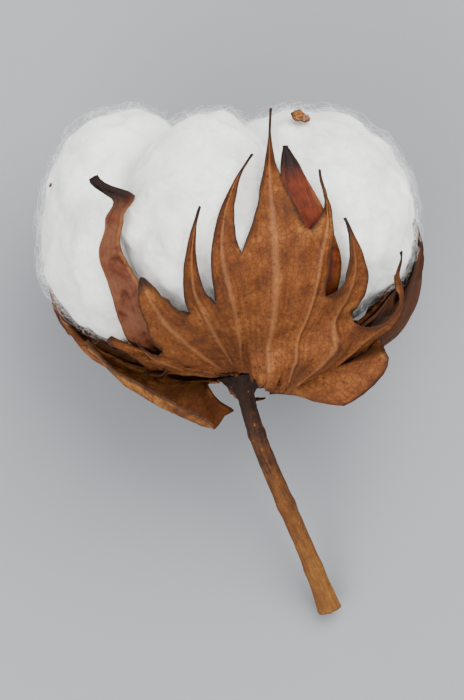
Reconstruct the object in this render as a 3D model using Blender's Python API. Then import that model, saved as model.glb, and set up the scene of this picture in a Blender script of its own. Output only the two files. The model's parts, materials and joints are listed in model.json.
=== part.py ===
"""A picked cotton boll with its stalk, lying on its side on a small flat spot of lint.

The boll is modelled about its own upright axis: the origin is the top of the stalk, +Z runs up through the
lint, and azimuth 0 is the side with the best bract, with positive azimuths to its right. One empty,
boll_frame, then lays the whole boll down so that azimuth 0 faces up. Lengths are in metres.
"""

import bisect
import cmath
import math
from typing import NamedTuple

import bmesh
import bpy
from mathutils import Matrix, Vector, noise
from mathutils.bvhtree import BVHTree

# The boll
HEART = 0.0265  # height of the middle of the lint over the stalk's top
LINT_RADIUS = 0.0352
GAP = 0.00045  # air between pieces that lie on each other
RAISE_STEP = 0.0002
RAISE_ROUNDS = 30
RAY_START = 0.2  # from the heart, outside every piece
RAY_COUNT = 8  # rays round a point that look for pieces under it
CLEAR_REACH = 0.0014

# How it lies
LEAN = math.radians(7.0)  # of the axis, to the left as seen from above
TIP_UP = math.radians(5.0)  # the lint end is higher than the stalk end
AXIS_HEIGHT = 0.0310  # of the heart over the surface it lies on

# The lint
LOCK_CENTRE_RADIUS = 0.0172
LOCK_UP = 0.0255
LOCK_DOWN = 0.0192
LOCK_ACROSS = 0.0178
LOCK_ROUNDNESS = 6.0
LOCK_LUMPS = 0.035
LUMP_NOISES = ((1.9, 300.0, 1.0), (4.3, -200.0, 0.5))  # (frequency, offset per metre, strength)
LOCK_SEGMENTS = 22
LOCK_RINGS = 15
LOCK_SIZES = (  # (outwards, up, down) of each lock
    (0.98, 1.00, 0.88),
    (0.96, 0.82, 0.97),
    (1.09, 0.82, 0.95),
    (0.98, 0.82, 0.97),
    (0.98, 0.80, 1.0),
)
LEAST_FACING = 0.02  # a ray that meets a divider at a flatter angle than this misses it

# The dried capsule
VALVE_WALL = 0.0008
VALVE_FOOT = math.radians(-85.5)  # elevation of every valve's foot
VALVE_SECTOR = math.radians(20.0)  # the most that half a valve may take of the round
VALVE_TIP_HALF_WIDTH = 0.00035
VALVE_KEEL = 0.0009
VALVE_KEEL_END = 0.87  # how far up a valve its keel runs
VALVE_POINTEDNESS = 0.9
VALVE_COLUMNS = 6
VALVE_ROWS = 22
VALVE_BEND = 0.72  # how far up a valve its tip begins to bend out
BOWL_RADIUS = 0.0322
BOWL_DEPTH = 0.0232
BOWL_HEIGHT = 0.0262
BOWL_POWER = 2.3

CALYX_WALL = 0.0005
CALYX_INNER_RADIUS = 0.0020
CALYX_RADIUS = 0.0105
CALYX_BASE = 0.0016
CALYX_DISH = 18.0  # how steeply the cup rises, per metre
CALYX_WAVE = 0.16
CALYX_TEETH = 5
CALYX_TURN = 0.6  # radians
CALYX_RINGS = 5
CALYX_SIDES = 30

# The leafy bracts
BRACT_WALL = 0.00042
BRACT_LIFT = 0.0012
BRACT_SMOOTHINGS = 3
BRACT_SMOOTHING = 0.5
BELLY_REACH = 0.042  # how far from a bract's foot its belly ends
MERIDIAN = range(-77, 75, 2)  # the elevations, in degrees, at which a bract's middle line is found
FOOT_DROP = 0.0025  # a bract's foot hangs this far down over the top of the stalk
FOOT_SPREAD = 0.00003  # its width for each degree of the blade
HANG_OUT = 0.15  # below its foot a bract leaves the stalk by this much of its length
HANG_DOWN = 0.9
TOOTH_COLUMNS = 2
WING_COLUMNS = 8
BLADE_ROWS = 7
TOOTH_ROWS = 7
TOOTH_LEAST_WIDTH = 0.0004
WING_FULL = 0.625  # how far round a wing reaches its full length
WING_EASE = 0.3  # over this share of a wing its length leaves that of the cut beside it
RIM_EASE = 0.22  # over this share of a wing it comes over to its rim's own route
RIM_PULL = 1 / 6  # how much of the line past its neighbours steers each step of a route
ARCH_MIDDLE = 0.55

# The stalk
STALK_REACH = Vector((0.0165, -0.0400, 0.0))  # from its top to its cut end, across the surface
STALK_RADIUS = 0.00150
STALK_END_RADIUS = 0.00235
STALK_END_HEIGHT = 0.00193  # of the middle of its cut end, whose rim then touches the surface
STALK_TAPER = 0.35  # the share of its growth in radius that is even; the rest is in its end
STALK_SWELL_FROM = 0.8
STALK_TOP = Vector((0.0, 0.0, -0.0003))
STALK_KNEE = Vector((0.0, 0.0, -0.012))
STALK_MIDDLE = 0.55
STALK_STEPS = 25
STALK_CROWDING = 1.35  # gathers the steps near the hub
HUB_RADIUS = 0.0046
HUB_HEIGHT = 0.0042
HUB_CURVE = 1.5

CRUMB_PLACE = (40.0, 36.0)  # azimuth and elevation from the heart, degrees
CRUMB_SIZE = Vector((0.0020, 0.0015, 0.0005))
CRUMB_RAGGED = 0.35
CRUMB_NOISE = 1.7


class Valve(NamedTuple):
    """One valve of the capsule. Its middle line follows the sways, (share of its length, degrees)."""

    azimuth: float
    half_width: float
    tip: float  # elevation of its tip, degrees
    curl: float  # how far its tip bends out
    sways: tuple = ((0.0, 0.0), (0.5, 1.2), (0.8, -1.0), (1.0, 1.5))
    fullness: float = 2.4  # how far up it stays broad


VALVES = (
    Valve(-112.0, 0.0056, 8.0, 0.0022),
    Valve(
        -42.0,
        0.0040,
        18.0,
        0.0022,
        ((0.0, 0.0), (0.36, -6.0), (0.66, 3.0), (0.79, 0.5), (0.93, 8.0), (1.0, -1.0)),
        3.2,
    ),
    Valve(27.0, 0.0060, 21.0, 0.0014, ((0.0, 0.0), (0.6, 0.0), (1.0, -4.0)), 4.0),
    Valve(94.0, 0.0056, 12.0, 0.0026),
    Valve(138.0, 0.0056, 14.0, 0.0010),
)


class Tooth(NamedTuple):
    """One tooth of a bract, in degrees from straight up its blade and metres from its foot."""

    angle: float  # of its tip
    tip: float
    edge: float  # of the cut to its right
    notch: float  # where that cut ends
    lift: float = 0.001  # raises its tip off the boll
    taper: float = 1.1


class Wing(NamedTuple):
    """The rounded lobe beside a bract's foot."""

    angle: float
    reach: float
    flare: float  # takes its rim away from the stalk
    bend: float = 0.015  # the least radius at which it wraps round the boll
    rim: tuple = ()  # where its rim runs instead, in the boll's own frame
    bulge: tuple = ()  # how far it swells between foot and rim, as (share, metres)
    swell: tuple = (0.0, -1.0, 0.0)  # the way in which it swells


class Bract(NamedTuple):
    """One leafy bract. Its first cut is at (angle, distance), to the left of its first tooth."""

    name: str
    azimuth: float
    first_cut: tuple
    teeth: tuple
    wings: tuple
    belly: float  # how far the blade stands off halfway up


BRACTS = (
    Bract(
        "bract_right",
        106.0,
        (-63.0, 0.026),
        (
            Tooth(-56.0, 0.030, -50.5, 0.026),
            Tooth(-42.0, 0.037, -37.5, 0.028, 0.0),
            Tooth(-30.0, 0.041, -24.0, 0.031, 0.0),
            Tooth(-15.0, 0.046, -10.0, 0.033),
            Tooth(0.0, 0.052, 3.5, 0.034, 0.002),
            Tooth(8.0, 0.047, 16.0, 0.031, 0.002),
            Tooth(24.0, 0.041, 27.5, 0.028),
            Tooth(36.0, 0.034, 39.0, 0.025, 0.002),
        ),
        (Wing(-98.0, 0.023, 0.009), Wing(80.0, 0.018, 0.004)),
        0.0045,
    ),
    Bract(
        "bract_front",
        14.0,
        (-72.0, 0.0190),
        (
            Tooth(-62.0, 0.0270, -60.0, 0.0215),
            Tooth(-50.0, 0.0320, -50.0, 0.0255),
            Tooth(-37.0, 0.0410, -33.0, 0.0280, 0.001, 0.5),
            Tooth(-16.0, 0.0450, -22.5, 0.0275, 0.001, 1.1),
            Tooth(-2.0, 0.0520, -10.0, 0.0350, 0.001, 1.35),
            Tooth(3.5, 0.0615, 10.0, 0.0380, 0.001, 2.1),
            Tooth(12.0, 0.0490, 19.5, 0.0270, 0.001, 1.9),
            Tooth(16.0, 0.0405, 39.0, 0.0250, 0.003, 0.8),
            Tooth(33.0, 0.0400, 53.0, 0.0265, 0.002, 1.5),
        ),
        (
            Wing(
                -92.0,
                0.0195,
                0.003,
                0.015,
                (
                    (-0.0209, -0.0180, 0.0101),
                    (-0.0247, -0.0160, 0.0082),
                    (-0.0195, -0.0150, 0.0051),
                    (-0.0117, -0.0120, 0.0029),
                    (-0.0038, -0.0080, 0.0016),
                ),
                ((0.0, 0.003), (0.5, 0.003), (1.0, 0.001)),
            ),
            Wing(
                118.0,
                0.0215,
                0.004,
                0.028,
                (
                    (0.0252, -0.0120, 0.0039),
                    (0.0272, -0.0115, 0.0002),
                    (0.0261, -0.0110, -0.0030),
                    (0.0192, -0.0105, -0.0076),
                    (0.0152, -0.0100, -0.0077),
                    (0.0098, -0.0090, -0.0049),
                    (0.0042, -0.0070, -0.0023),
                ),
                ((0.0, 0.005), (0.5, 0.005), (1.0, 0.002)),
                (0.0, -1.0, -0.2),
            ),
        ),
        0.0008,
    ),
    Bract(
        "bract_left",
        -114.0,
        (-40.0, 0.023),
        (
            Tooth(-36.0, 0.030, -28.5, 0.023),
            Tooth(-26.0, 0.037, -17.5, 0.026, 0.002),
            Tooth(-8.0, 0.041, -6.0, 0.028),
            Tooth(2.0, 0.041, 6.0, 0.029, 0.001),
            Tooth(9.0, 0.037, 17.5, 0.027, 0.0),
            Tooth(24.0, 0.033, 28.0, 0.025, 0.0),
            Tooth(36.0, 0.028, 39.0, 0.022, 0.0),
        ),
        (
            Wing(-80.0, 0.018, 0.003),
            Wing(
                126.0,
                0.027,
                0.007,
                0.028,
                (
                    (-0.0332, -0.0020, 0.0210),
                    (-0.0301, -0.0050, 0.0133),
                    (-0.0265, -0.0080, 0.0089),
                    (-0.0213, -0.0100, 0.0032),
                    (-0.0159, -0.0110, 0.0005),
                    (-0.0105, -0.0110, -0.0040),
                    (-0.0066, -0.0100, -0.0079),
                    (-0.0063, -0.0090, -0.0106),
                    (-0.0043, -0.0075, -0.0062),
                    (-0.0021, -0.0050, -0.0027),
                ),
                ((0.0, 0.003), (0.3, 0.009), (0.6, 0.008), (0.8, 0.002), (1.0, 0.0)),
                (-0.55, 0.35, -0.75),
            ),
        ),
        0.0015,
    ),
)


def direction(azimuth, elevation):
    """The unit vector at these angles, in radians, seen from the heart."""
    level = math.cos(elevation)
    return Vector((level * math.sin(azimuth), -level * math.cos(azimuth), math.sin(elevation)))


def mix(one, two, share):
    """A share of the way from one value to the other."""
    return one + (two - one) * share


def ease(low, high, value):
    """A smooth step from 0 at low to 1 at high."""
    share = min(max((value - low) / (high - low), 0.0), 1.0)
    return share * share * (3 - 2 * share)


def follow(table, place):
    """Reads a smooth value from (place, value) pairs."""
    number = min(max(bisect.bisect(table, (place,)), 1), len(table) - 1)
    (start, low), (end, high) = table[number - 1], table[number]
    return mix(low, high, ease(start, end, place))


def bezier(points, share):
    """A point on the Bezier curve with these control points."""
    while len(points) > 1:
        points = [one.lerp(two, share) for one, two in zip(points, points[1:])]
    return points[0]


def heart():
    return Vector((0.0, 0.0, HEART))


def laid_down():
    """The turn that lays the upright boll on its side, and the height of its origin when it lies."""
    turn = Matrix.Rotation(LEAN, 3, "Z") @ Matrix.Rotation(TIP_UP - math.pi / 2, 3, "X")
    return turn, AXIS_HEIGHT - (turn @ heart()).z


def material(name, colour, roughness):
    made = bpy.data.materials.new(name)
    made.diffuse_color = (*colour, 1.0)
    made.use_nodes = True
    shader = made.node_tree.nodes["Principled BSDF"]
    shader.inputs["Base Color"].default_value = (*colour, 1.0)
    shader.inputs["Roughness"].default_value = roughness
    shader.inputs["Metallic"].default_value = 0.0
    return made


def piece(name, mesh, finish, frame):
    """One named object in the boll's frame, shaded smooth."""
    if isinstance(mesh, bmesh.types.BMesh):
        data = bpy.data.meshes.new(name)
        mesh.to_mesh(data)
        mesh.free()
        data.shade_smooth()
    else:
        data = mesh
    data.materials.append(finish)
    made = bpy.data.objects.new(name, data)
    bpy.context.scene.collection.objects.link(made)
    made.parent = frame
    return made


def thicken(made, wall):
    """Gives a sheet its wall, on the side away from the heart."""
    solid = made.modifiers.new("wall", "SOLIDIFY")
    solid.thickness = wall
    solid.offset = 1.0
    return made


def solid_tree(made):
    """The finished shape of a piece, for others to be laid over."""
    bpy.context.view_layer.update()
    return BVHTree.FromObject(made, bpy.context.evaluated_depsgraph_get())


def face_outwards(mesh):
    """Turns a sheet's faces away from the heart."""
    bmesh.ops.recalc_face_normals(mesh, faces=mesh.faces)
    outward = sum(
        face.calc_area() * face.normal.dot(face.calc_center_median() - heart()) for face in mesh.faces
    )
    if outward < 0:
        bmesh.ops.reverse_faces(mesh, faces=mesh.faces)


def outermost(trees, ray):
    """How far from the heart the outermost piece lies along a ray, or 0."""
    hits = (tree.ray_cast(heart() + ray * RAY_START, -ray, RAY_START) for tree in trees)
    return max((RAY_START - hit[3] for hit in hits if hit[0] is not None), default=0.0)


def lay_over(point, trees, lift=0.0, reach=CLEAR_REACH):
    """Moves a point out from the heart until it clears every piece within reach of it."""
    offset = point - heart()
    distance, ray = offset.length, offset.normalized()
    side = ray.orthogonal().normalized() * (reach / distance)
    around = [Matrix.Rotation(math.tau * turn / RAY_COUNT, 3, ray) @ side for turn in range(RAY_COUNT)]
    rays = [ray, *((ray + step).normalized() for step in around)]
    highest = max(outermost(trees, each) for each in rays)
    return heart() + ray * (max(distance, highest + GAP) + lift)


def raise_clear(mesh, trees, wall):
    """Raises a sheet where one of its faces would still touch a piece under it."""
    face_outwards(mesh)
    mesh.verts.index_update()
    corners = [[vertex.index for vertex in face.verts] for face in mesh.faces]
    for _ in range(RAISE_ROUNDS):
        mesh.normal_update()
        touching = set()
        for side in (-GAP, wall + GAP):
            moved = [vertex.co + vertex.normal * side for vertex in mesh.verts]
            sheet = BVHTree.FromPolygons(moved, corners)
            touching |= {index for tree in trees for index, _ in sheet.overlap(tree)}
        if not touching:
            break
        mesh.faces.ensure_lookup_table()
        for vertex in {vertex for index in touching for vertex in mesh.faces[index].verts}:
            vertex.co += (vertex.co - heart()).normalized() * RAISE_STEP


# ---------------------------------------------------------------- lint


def divider(azimuth):
    """The normal of the upright plane between two locks, pointing towards larger azimuths."""
    angle = math.radians(azimuth)
    return Vector((math.cos(angle), math.sin(angle), 0.0))


def lock_reach(ray, centre, azimuth, first, last, sizes):
    """How far a lock reaches from its centre along a ray: to its own bulge, or to its neighbours."""
    outwards, up, down = sizes
    tall = LOCK_UP * up if ray.z > 0 else LOCK_DOWN * down
    depth = LINT_RADIUS * outwards - LOCK_CENTRE_RADIUS
    across = ray.dot(divider(math.degrees(azimuth))) / LOCK_ACROSS
    scaled = Vector((ray.dot(direction(azimuth, 0.0)) / depth, across, ray.z / tall))
    lumps = sum(
        strength * noise.noise(ray * frequency + centre * offset)
        for frequency, offset, strength in LUMP_NOISES
    )
    limits = [(1 + LOCK_LUMPS * lumps) / scaled.length]
    for normal in (-divider(first), divider(last)):
        facing = ray.dot(normal)
        if facing > LEAST_FACING:
            limits.append((-centre.dot(normal) - GAP / 2) / facing)
    return sum(limit**-LOCK_ROUNDNESS for limit in limits) ** (-1 / LOCK_ROUNDNESS)


def make_lock(name, first, last, sizes, finish, frame):
    """One lock of lint: a soft lobe that fills its share of the boll and is flat where it lies."""
    azimuth = math.radians((first + last) / 2)
    centre = heart() + direction(azimuth, 0.0) * LOCK_CENTRE_RADIUS
    turn, height = laid_down()
    down = turn.transposed() @ Vector((0, 0, -1))
    mesh = bmesh.new()
    bmesh.ops.create_uvsphere(mesh, u_segments=LOCK_SEGMENTS, v_segments=LOCK_RINGS, radius=1.0)
    for vertex in mesh.verts:
        ray = vertex.co.normalized()
        reach = lock_reach(ray, centre, azimuth, first, last, sizes)
        facing = ray.dot(down)
        if facing > 0:
            reach = min(reach, (height - centre.dot(down)) / facing)
        vertex.co = centre + ray * reach
    return piece(name, mesh, finish, frame)


# ---------------------------------------------------------------- capsule and calyx


def bowl(elevation):
    """The open capsule's distance from the heart at an elevation."""
    tall = BOWL_HEIGHT if elevation > 0 else BOWL_DEPTH
    level = abs(math.cos(elevation) / BOWL_RADIUS) ** BOWL_POWER
    upright = abs(math.sin(elevation) / tall) ** BOWL_POWER
    return (level + upright) ** (-1 / BOWL_POWER)


def grid(columns, rows):
    """A flat sheet whose vertices run from -1 to 1 across and from 0 to 1 along."""
    mesh = bmesh.new()
    bmesh.ops.create_grid(mesh, x_segments=columns, y_segments=rows, size=1.0)
    for vertex in mesh.verts:
        vertex.co.y = (vertex.co.y + 1) / 2
    return mesh


def make_valve(number, trees, finish, frame):
    """One valve of the dried capsule: a boat-shaped wall between two locks, with a bent point."""
    valve = VALVES[number]
    mesh = grid(VALVE_COLUMNS, VALVE_ROWS)
    for vertex in mesh.verts:
        across, along = vertex.co.x, vertex.co.y
        elevation = mix(VALVE_FOOT, math.radians(valve.tip), along)
        taper = (1 - along**valve.fullness) ** VALVE_POINTEDNESS
        half = VALVE_TIP_HALF_WIDTH + valve.half_width * taper
        distance = bowl(elevation)
        spread = min(half / (distance * math.cos(elevation)), VALVE_SECTOR)
        azimuth = math.radians(valve.azimuth + follow(valve.sways, along))
        ray = direction(azimuth + across * spread, elevation)
        keel = VALVE_KEEL * (1 - across**2) * math.sin(math.pi * min(along / VALVE_KEEL_END, 1.0))
        curl = valve.curl * (max(0.0, along - VALVE_BEND) / (1 - VALVE_BEND)) ** 2
        vertex.co = lay_over(heart() + ray * distance, trees, keel + curl)
    raise_clear(mesh, trees, VALVE_WALL)
    return thicken(piece(f"valve_{number + 1}", mesh, finish, frame), VALVE_WALL)


def make_calyx(trees, finish, frame):
    """The small dried cup under the capsule, with a wavy rim of five shallow teeth."""
    mesh = bmesh.new()
    for step in range(CALYX_RINGS + 1):
        radius = mix(CALYX_INNER_RADIUS, CALYX_RADIUS, step / CALYX_RINGS)
        mesh.verts.new((radius, 0.0, CALYX_BASE + CALYX_DISH * radius**2))
    mesh.verts.ensure_lookup_table()
    for step in range(CALYX_RINGS):
        mesh.edges.new(mesh.verts[step : step + 2])
    bmesh.ops.spin(
        mesh,
        geom=mesh.verts[:] + mesh.edges[:],
        axis=(0, 0, 1),
        cent=(0, 0, 0),
        steps=CALYX_SIDES,
        angle=math.tau,
        use_merge=True,
    )
    for vertex in mesh.verts:
        radius = vertex.co.xy.length
        azimuth = math.atan2(vertex.co.x, -vertex.co.y)
        share = (radius - CALYX_INNER_RADIUS) / (CALYX_RADIUS - CALYX_INNER_RADIUS)
        wave = 1 + CALYX_WAVE * share**2 * math.cos(CALYX_TEETH * azimuth + CALYX_TURN)
        vertex.co.x *= wave
        vertex.co.y *= wave
        vertex.co = lay_over(vertex.co.copy(), trees)
    raise_clear(mesh, trees, CALYX_WALL)
    return thicken(piece("calyx", mesh, finish, frame), CALYX_WALL)


# ---------------------------------------------------------------- bracts


def meridian():
    """The line that a bract's middle follows, as (arc length, radius, height) at each step up."""
    line, travelled, last = [], 0.0, None
    for degrees in MERIDIAN:
        elevation = math.radians(degrees)
        distance = bowl(elevation) + BRACT_LIFT
        here = Vector((distance * math.cos(elevation), HEART + distance * math.sin(elevation)))
        travelled += (here - last).length if last else 0.0
        line.append((travelled, here.x, here.y))
        last = here
    return line


def on_meridian(line, arc):
    """Radius and height at an arc length; below 0 the line hangs down beside the stalk."""
    if arc <= 0:
        return line[0][1] - HANG_OUT * arc, line[0][2] + HANG_DOWN * arc
    place = min(bisect.bisect(line, (arc,)), len(line) - 1)
    low, high = line[place - 1], line[place]
    share = (arc - low[0]) / (high[0] - low[0])
    return mix(low[1], high[1], share), mix(low[2], high[2], share)


def on_plan(angle, distance):
    """The flat leaf's point at an angle in degrees from straight up and a distance from its foot."""
    return cmath.rect(distance, math.pi / 2 - math.radians(angle))


def cut_before(bract, number):
    """The (angle, distance) of the cut to the left of a tooth, or to the right of the last one."""
    if number == 0:
        return bract.first_cut
    return bract.teeth[number - 1].edge, bract.teeth[number - 1].notch


def foot_at(angle):
    """The flat leaf's point where the ribs at an angle leave the stalk."""
    return complex(FOOT_SPREAD * angle, -FOOT_DROP)


def on_wing(bract, side, share, up):
    """The flat leaf's point on a wing, and how far its flare takes it from the stalk.

    share runs from 0 at the last cut to 1 at the wing's end, and up from 0 at the foot to 2 at the rim.
    """
    wing = bract.wings[side]
    edge, near = cut_before(bract, side * len(bract.teeth))
    distance = mix(near, wing.reach, math.sin(min(share / WING_FULL, 1.0) * math.pi / 2))
    angle = mix(edge, wing.angle, share)
    away = mix(near * min(up, 1.0), distance * up / 2, ease(0.0, WING_EASE, share))
    return on_plan(angle, away) + foot_at(angle) * (1 - up / 2), wing.flare * share * up / 2


def on_tooth(bract, number, across, up):
    """The flat leaf's point on a tooth, from 0 to 1 across it: up is 0 at the foot and 2 at the tip."""
    tooth = bract.teeth[number]
    left, low = cut_before(bract, number)
    root, start, end = (
        on_plan(mix(left, tooth.edge, share), mix(low, tooth.notch, share)) for share in (across, 0.0, 1.0)
    )
    if up <= 1:
        return mix(foot_at(mix(left, tooth.edge, across)), root, up)
    along = up - 1
    base = on_plan(mix(left, tooth.edge, 0.5), mix(low, tooth.notch, 0.5))
    tip = on_plan(tooth.angle, tooth.tip)
    first = base / abs(base)
    bent = base + first * abs(tip - base) / 2
    middle = (1 - along) ** 2 * base + 2 * along * (1 - along) * bent + along**2 * tip
    tangent = (1 - along) * (bent - base) + along * (tip - bent)
    width = max((1 - along) ** tooth.taper, TOOTH_LEAST_WIDTH / abs(end - start))
    return middle + (root - base) * width * tangent / abs(tangent) / first


def stand(bract, line, place, flare):
    """The place in space of a point on the flat leaf, before it is laid over the boll."""
    out, height = on_meridian(line, place.imag)
    curve = max(out, bract.wings[place.real > 0].bend)
    level = out - curve + curve * math.cos(place.real / curve) + flare
    spot = Vector((curve * math.sin(place.real / curve), -level, height))
    return Matrix.Rotation(math.radians(bract.azimuth), 3, "Z") @ spot


def guide(bract, line, side, share, up):
    """Where a point belongs on a wing whose rim has its own route: on an arch from foot to rim."""
    wing = bract.wings[side]
    edge = cut_before(bract, side * len(bract.teeth))[0]
    foot = stand(bract, line, foot_at(mix(edge, wing.angle, share)), 0.0)
    route = [Vector(spot) for spot in wing.rim]
    along = share * (len(route) - 1)
    number = min(int(along), len(route) - 2)
    start, end = route[number], route[number + 1]
    before, after = route[max(number - 1, 0)], route[min(number + 2, len(route) - 1)]
    pulls = start + (end - before) * RIM_PULL, end - (after - start) * RIM_PULL
    rim = bezier((start, *pulls, end), along - number)
    middle = foot.lerp(rim, ARCH_MIDDLE) + Vector(wing.swell) * follow(wing.bulge, share)
    return bezier((foot, middle, rim), up / 2)


def on_leaf(bract, line, column, row, middle):
    """Where a bract's vertex stands, and its lift; middle is the column that its faces lie around."""
    up = row / BLADE_ROWS if row <= BLADE_ROWS else 1 + (row - BLADE_ROWS) / TOOTH_ROWS
    last = WING_COLUMNS + TOOTH_COLUMNS * len(bract.teeth)
    if WING_COLUMNS <= middle <= last:
        number = min(int((middle - WING_COLUMNS) / TOOTH_COLUMNS), len(bract.teeth) - 1)
        place = on_tooth(bract, number, (column - WING_COLUMNS) / TOOTH_COLUMNS - number, up)
        spot, lift = stand(bract, line, place, 0.0), bract.teeth[number].lift * max(up - 1, 0.0) ** 2
    else:
        side = int(middle > last)
        share = (column - last if side else WING_COLUMNS - column) / WING_COLUMNS
        place, flare = on_wing(bract, side, share, up)
        spot, lift = stand(bract, line, place, flare), 0.0
        if bract.wings[side].rim:
            spot = spot.lerp(guide(bract, line, side, share, up), ease(0.0, RIM_EASE, share))
    return spot, lift + bract.belly * math.sin(math.pi * min(abs(place) / BELLY_REACH, 1.0))


def leaf_grid(teeth):
    """A flat grid whose vertices stand at whole (column, row) places, cut between the teeth."""
    columns, rows = 2 * WING_COLUMNS + TOOTH_COLUMNS * teeth, BLADE_ROWS + TOOTH_ROWS
    mesh = grid(columns, rows)
    for vertex in mesh.verts:
        vertex.co = (round((vertex.co.x + 1) / 2 * columns), round(vertex.co.y * rows), 0.0)
    cuts = [
        edge
        for edge in mesh.edges
        if edge.verts[0].co.x == edge.verts[1].co.x
        and WING_COLUMNS <= edge.verts[0].co.x <= columns - WING_COLUMNS
        and (edge.verts[0].co.x - WING_COLUMNS) % TOOTH_COLUMNS == 0
        and min(vertex.co.y for vertex in edge.verts) >= BLADE_ROWS
    ]
    bmesh.ops.split_edges(mesh, edges=cuts)
    return mesh


def make_bract(bract, trees, finish, frame):
    """One leafy bract: a broad blade over the boll, cut into long teeth, with two hanging wings."""
    line = meridian()
    mesh = leaf_grid(len(bract.teeth))
    places = {}
    for vertex in mesh.verts:
        middle = sum(face.calc_center_median().x for face in vertex.link_faces) / len(vertex.link_faces)
        places[vertex] = on_leaf(bract, line, vertex.co.x, vertex.co.y, middle)
    for vertex, (spot, lift) in places.items():
        vertex.co = lay_over(spot, trees, lift)
    inner = [vertex for vertex in mesh.verts if not vertex.is_boundary]
    for _ in range(BRACT_SMOOTHINGS):
        bmesh.ops.smooth_vert(
            mesh,
            verts=inner,
            factor=BRACT_SMOOTHING,
            use_axis_x=True,
            use_axis_y=True,
            use_axis_z=True,
        )
    raise_clear(mesh, trees, BRACT_WALL)
    return thicken(piece(bract.name, mesh, finish, frame), BRACT_WALL)


# ---------------------------------------------------------------- stalk and crumb


def make_stalk(finish, frame):
    """The stalk, from the hub under the calyx to the end that snapped off its branch."""
    turn, height = laid_down()
    end = turn.transposed() @ (STALK_REACH + Vector((0, 0, STALK_END_HEIGHT - height)))
    line = [STALK_TOP, STALK_KNEE, end * STALK_MIDDLE, end]
    curve = bpy.data.curves.new("stalk", "CURVE")
    curve.dimensions = "3D"
    curve.bevel_depth = 1.0
    curve.bevel_resolution = 3
    curve.use_fill_caps = True
    spline = curve.splines.new("POLY")
    spline.points.add(STALK_STEPS)
    for index, point in enumerate(spline.points):
        share = (index / STALK_STEPS) ** STALK_CROWDING
        place = bezier(line, share)
        hub = max(0.0, 1 - place.length / HUB_HEIGHT)
        swelling = max(0.0, (share - STALK_SWELL_FROM) / (1 - STALK_SWELL_FROM)) ** 2
        radius = mix(STALK_RADIUS, STALK_END_RADIUS, mix(swelling, share, STALK_TAPER))
        point.co = (*place, 1.0)
        point.radius = radius + (HUB_RADIUS - STALK_RADIUS) * hub**HUB_CURVE
    return piece("stalk", curve, finish, frame)


def make_crumb(trees, finish, frame):
    """A crumb of dry leaf that is caught in the lint."""
    azimuth, elevation = (math.radians(angle) for angle in CRUMB_PLACE)
    ray = direction(azimuth, elevation)
    mesh = bmesh.new()
    bmesh.ops.create_icosphere(mesh, subdivisions=2, radius=1.0)
    foot = lay_over(heart() + ray * LINT_RADIUS / 2, trees, CRUMB_SIZE.z, reach=CRUMB_SIZE.x / 2)
    turn = ray.to_track_quat("Z", "Y").to_matrix()
    for vertex in mesh.verts:
        ragged = 1 + CRUMB_RAGGED * noise.noise(vertex.co * CRUMB_NOISE)
        vertex.co = foot + turn @ (vertex.co * CRUMB_SIZE * ragged)
    return piece("leaf_crumb", mesh, finish, frame)


# ---------------------------------------------------------------- the whole boll


def stand_over_origin(frame):
    """Moves the laid boll so that the middle of its box is over the origin."""
    bpy.context.view_layer.update()
    graph = bpy.context.evaluated_depsgraph_get()
    corners = []
    for made in frame.children:
        shape = made.evaluated_get(graph)
        mesh = shape.to_mesh()
        corners += [shape.matrix_world @ vertex.co for vertex in mesh.vertices]
        shape.to_mesh_clear()
    for axis in range(2):
        low = min(corner[axis] for corner in corners)
        high = max(corner[axis] for corner in corners)
        frame.location[axis] -= (low + high) / 2


def main():
    for old in list(bpy.data.objects):
        bpy.data.objects.remove(old)
    lint = material("lint", (0.90, 0.89, 0.86), 0.95)
    capsule = material("capsule", (0.25, 0.11, 0.05), 0.55)
    bract = material("bract", (0.42, 0.22, 0.10), 0.75)
    bark = material("bark", (0.23, 0.11, 0.05), 0.7)

    turn, height = laid_down()
    frame = bpy.data.objects.new("boll_frame", None)
    bpy.context.scene.collection.objects.link(frame)
    frame.rotation_mode = "QUATERNION"
    frame.rotation_quaternion = turn.to_quaternion()
    frame.location = (0, 0, height)

    trees = []
    azimuths = [valve.azimuth for valve in VALVES]
    rounds = zip(azimuths, [*azimuths[1:], azimuths[0] + 360], LOCK_SIZES)
    for index, (first, last, sizes) in enumerate(rounds):
        trees.append(solid_tree(make_lock(f"lock_{index + 1}", first, last, sizes, lint, frame)))
    crumb = make_crumb(trees, bract, frame)
    trees += [solid_tree(make_valve(number, trees, capsule, frame)) for number in range(len(VALVES))]
    trees.append(solid_tree(make_calyx(trees, bract, frame)))
    trees.append(solid_tree(crumb))
    for leaf in BRACTS:
        trees.append(solid_tree(make_bract(leaf, trees, bract, frame)))
    make_stalk(bark, frame)
    stand_over_origin(frame)


main()
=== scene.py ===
"""A picked cotton boll on its stalk, lying on its side on a small flat spot of lint.

Each piece is made about the upright boll's own axis, in metres: the origin is the top of the stalk, +Z runs
up through the lint, azimuth 0 is the side with the best bract, and azimuths grow to its right. The finished
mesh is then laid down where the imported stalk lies, so that azimuth 0 faces up from the table.
"""

import bisect  # noqa: E402
import cmath  # noqa: E402
import json  # noqa: E402
import logging  # noqa: E402
import math  # noqa: E402
import random  # noqa: E402
from dataclasses import dataclass, field  # noqa: E402
from enum import Enum  # noqa: E402
from typing import Callable, Iterable, Sequence  # noqa: E402

import bmesh  # noqa: E402
import bpy  # noqa: E402
from mathutils import Matrix, Vector, noise  # noqa: E402
from mathutils.bvhtree import BVHTree  # noqa: E402

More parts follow.
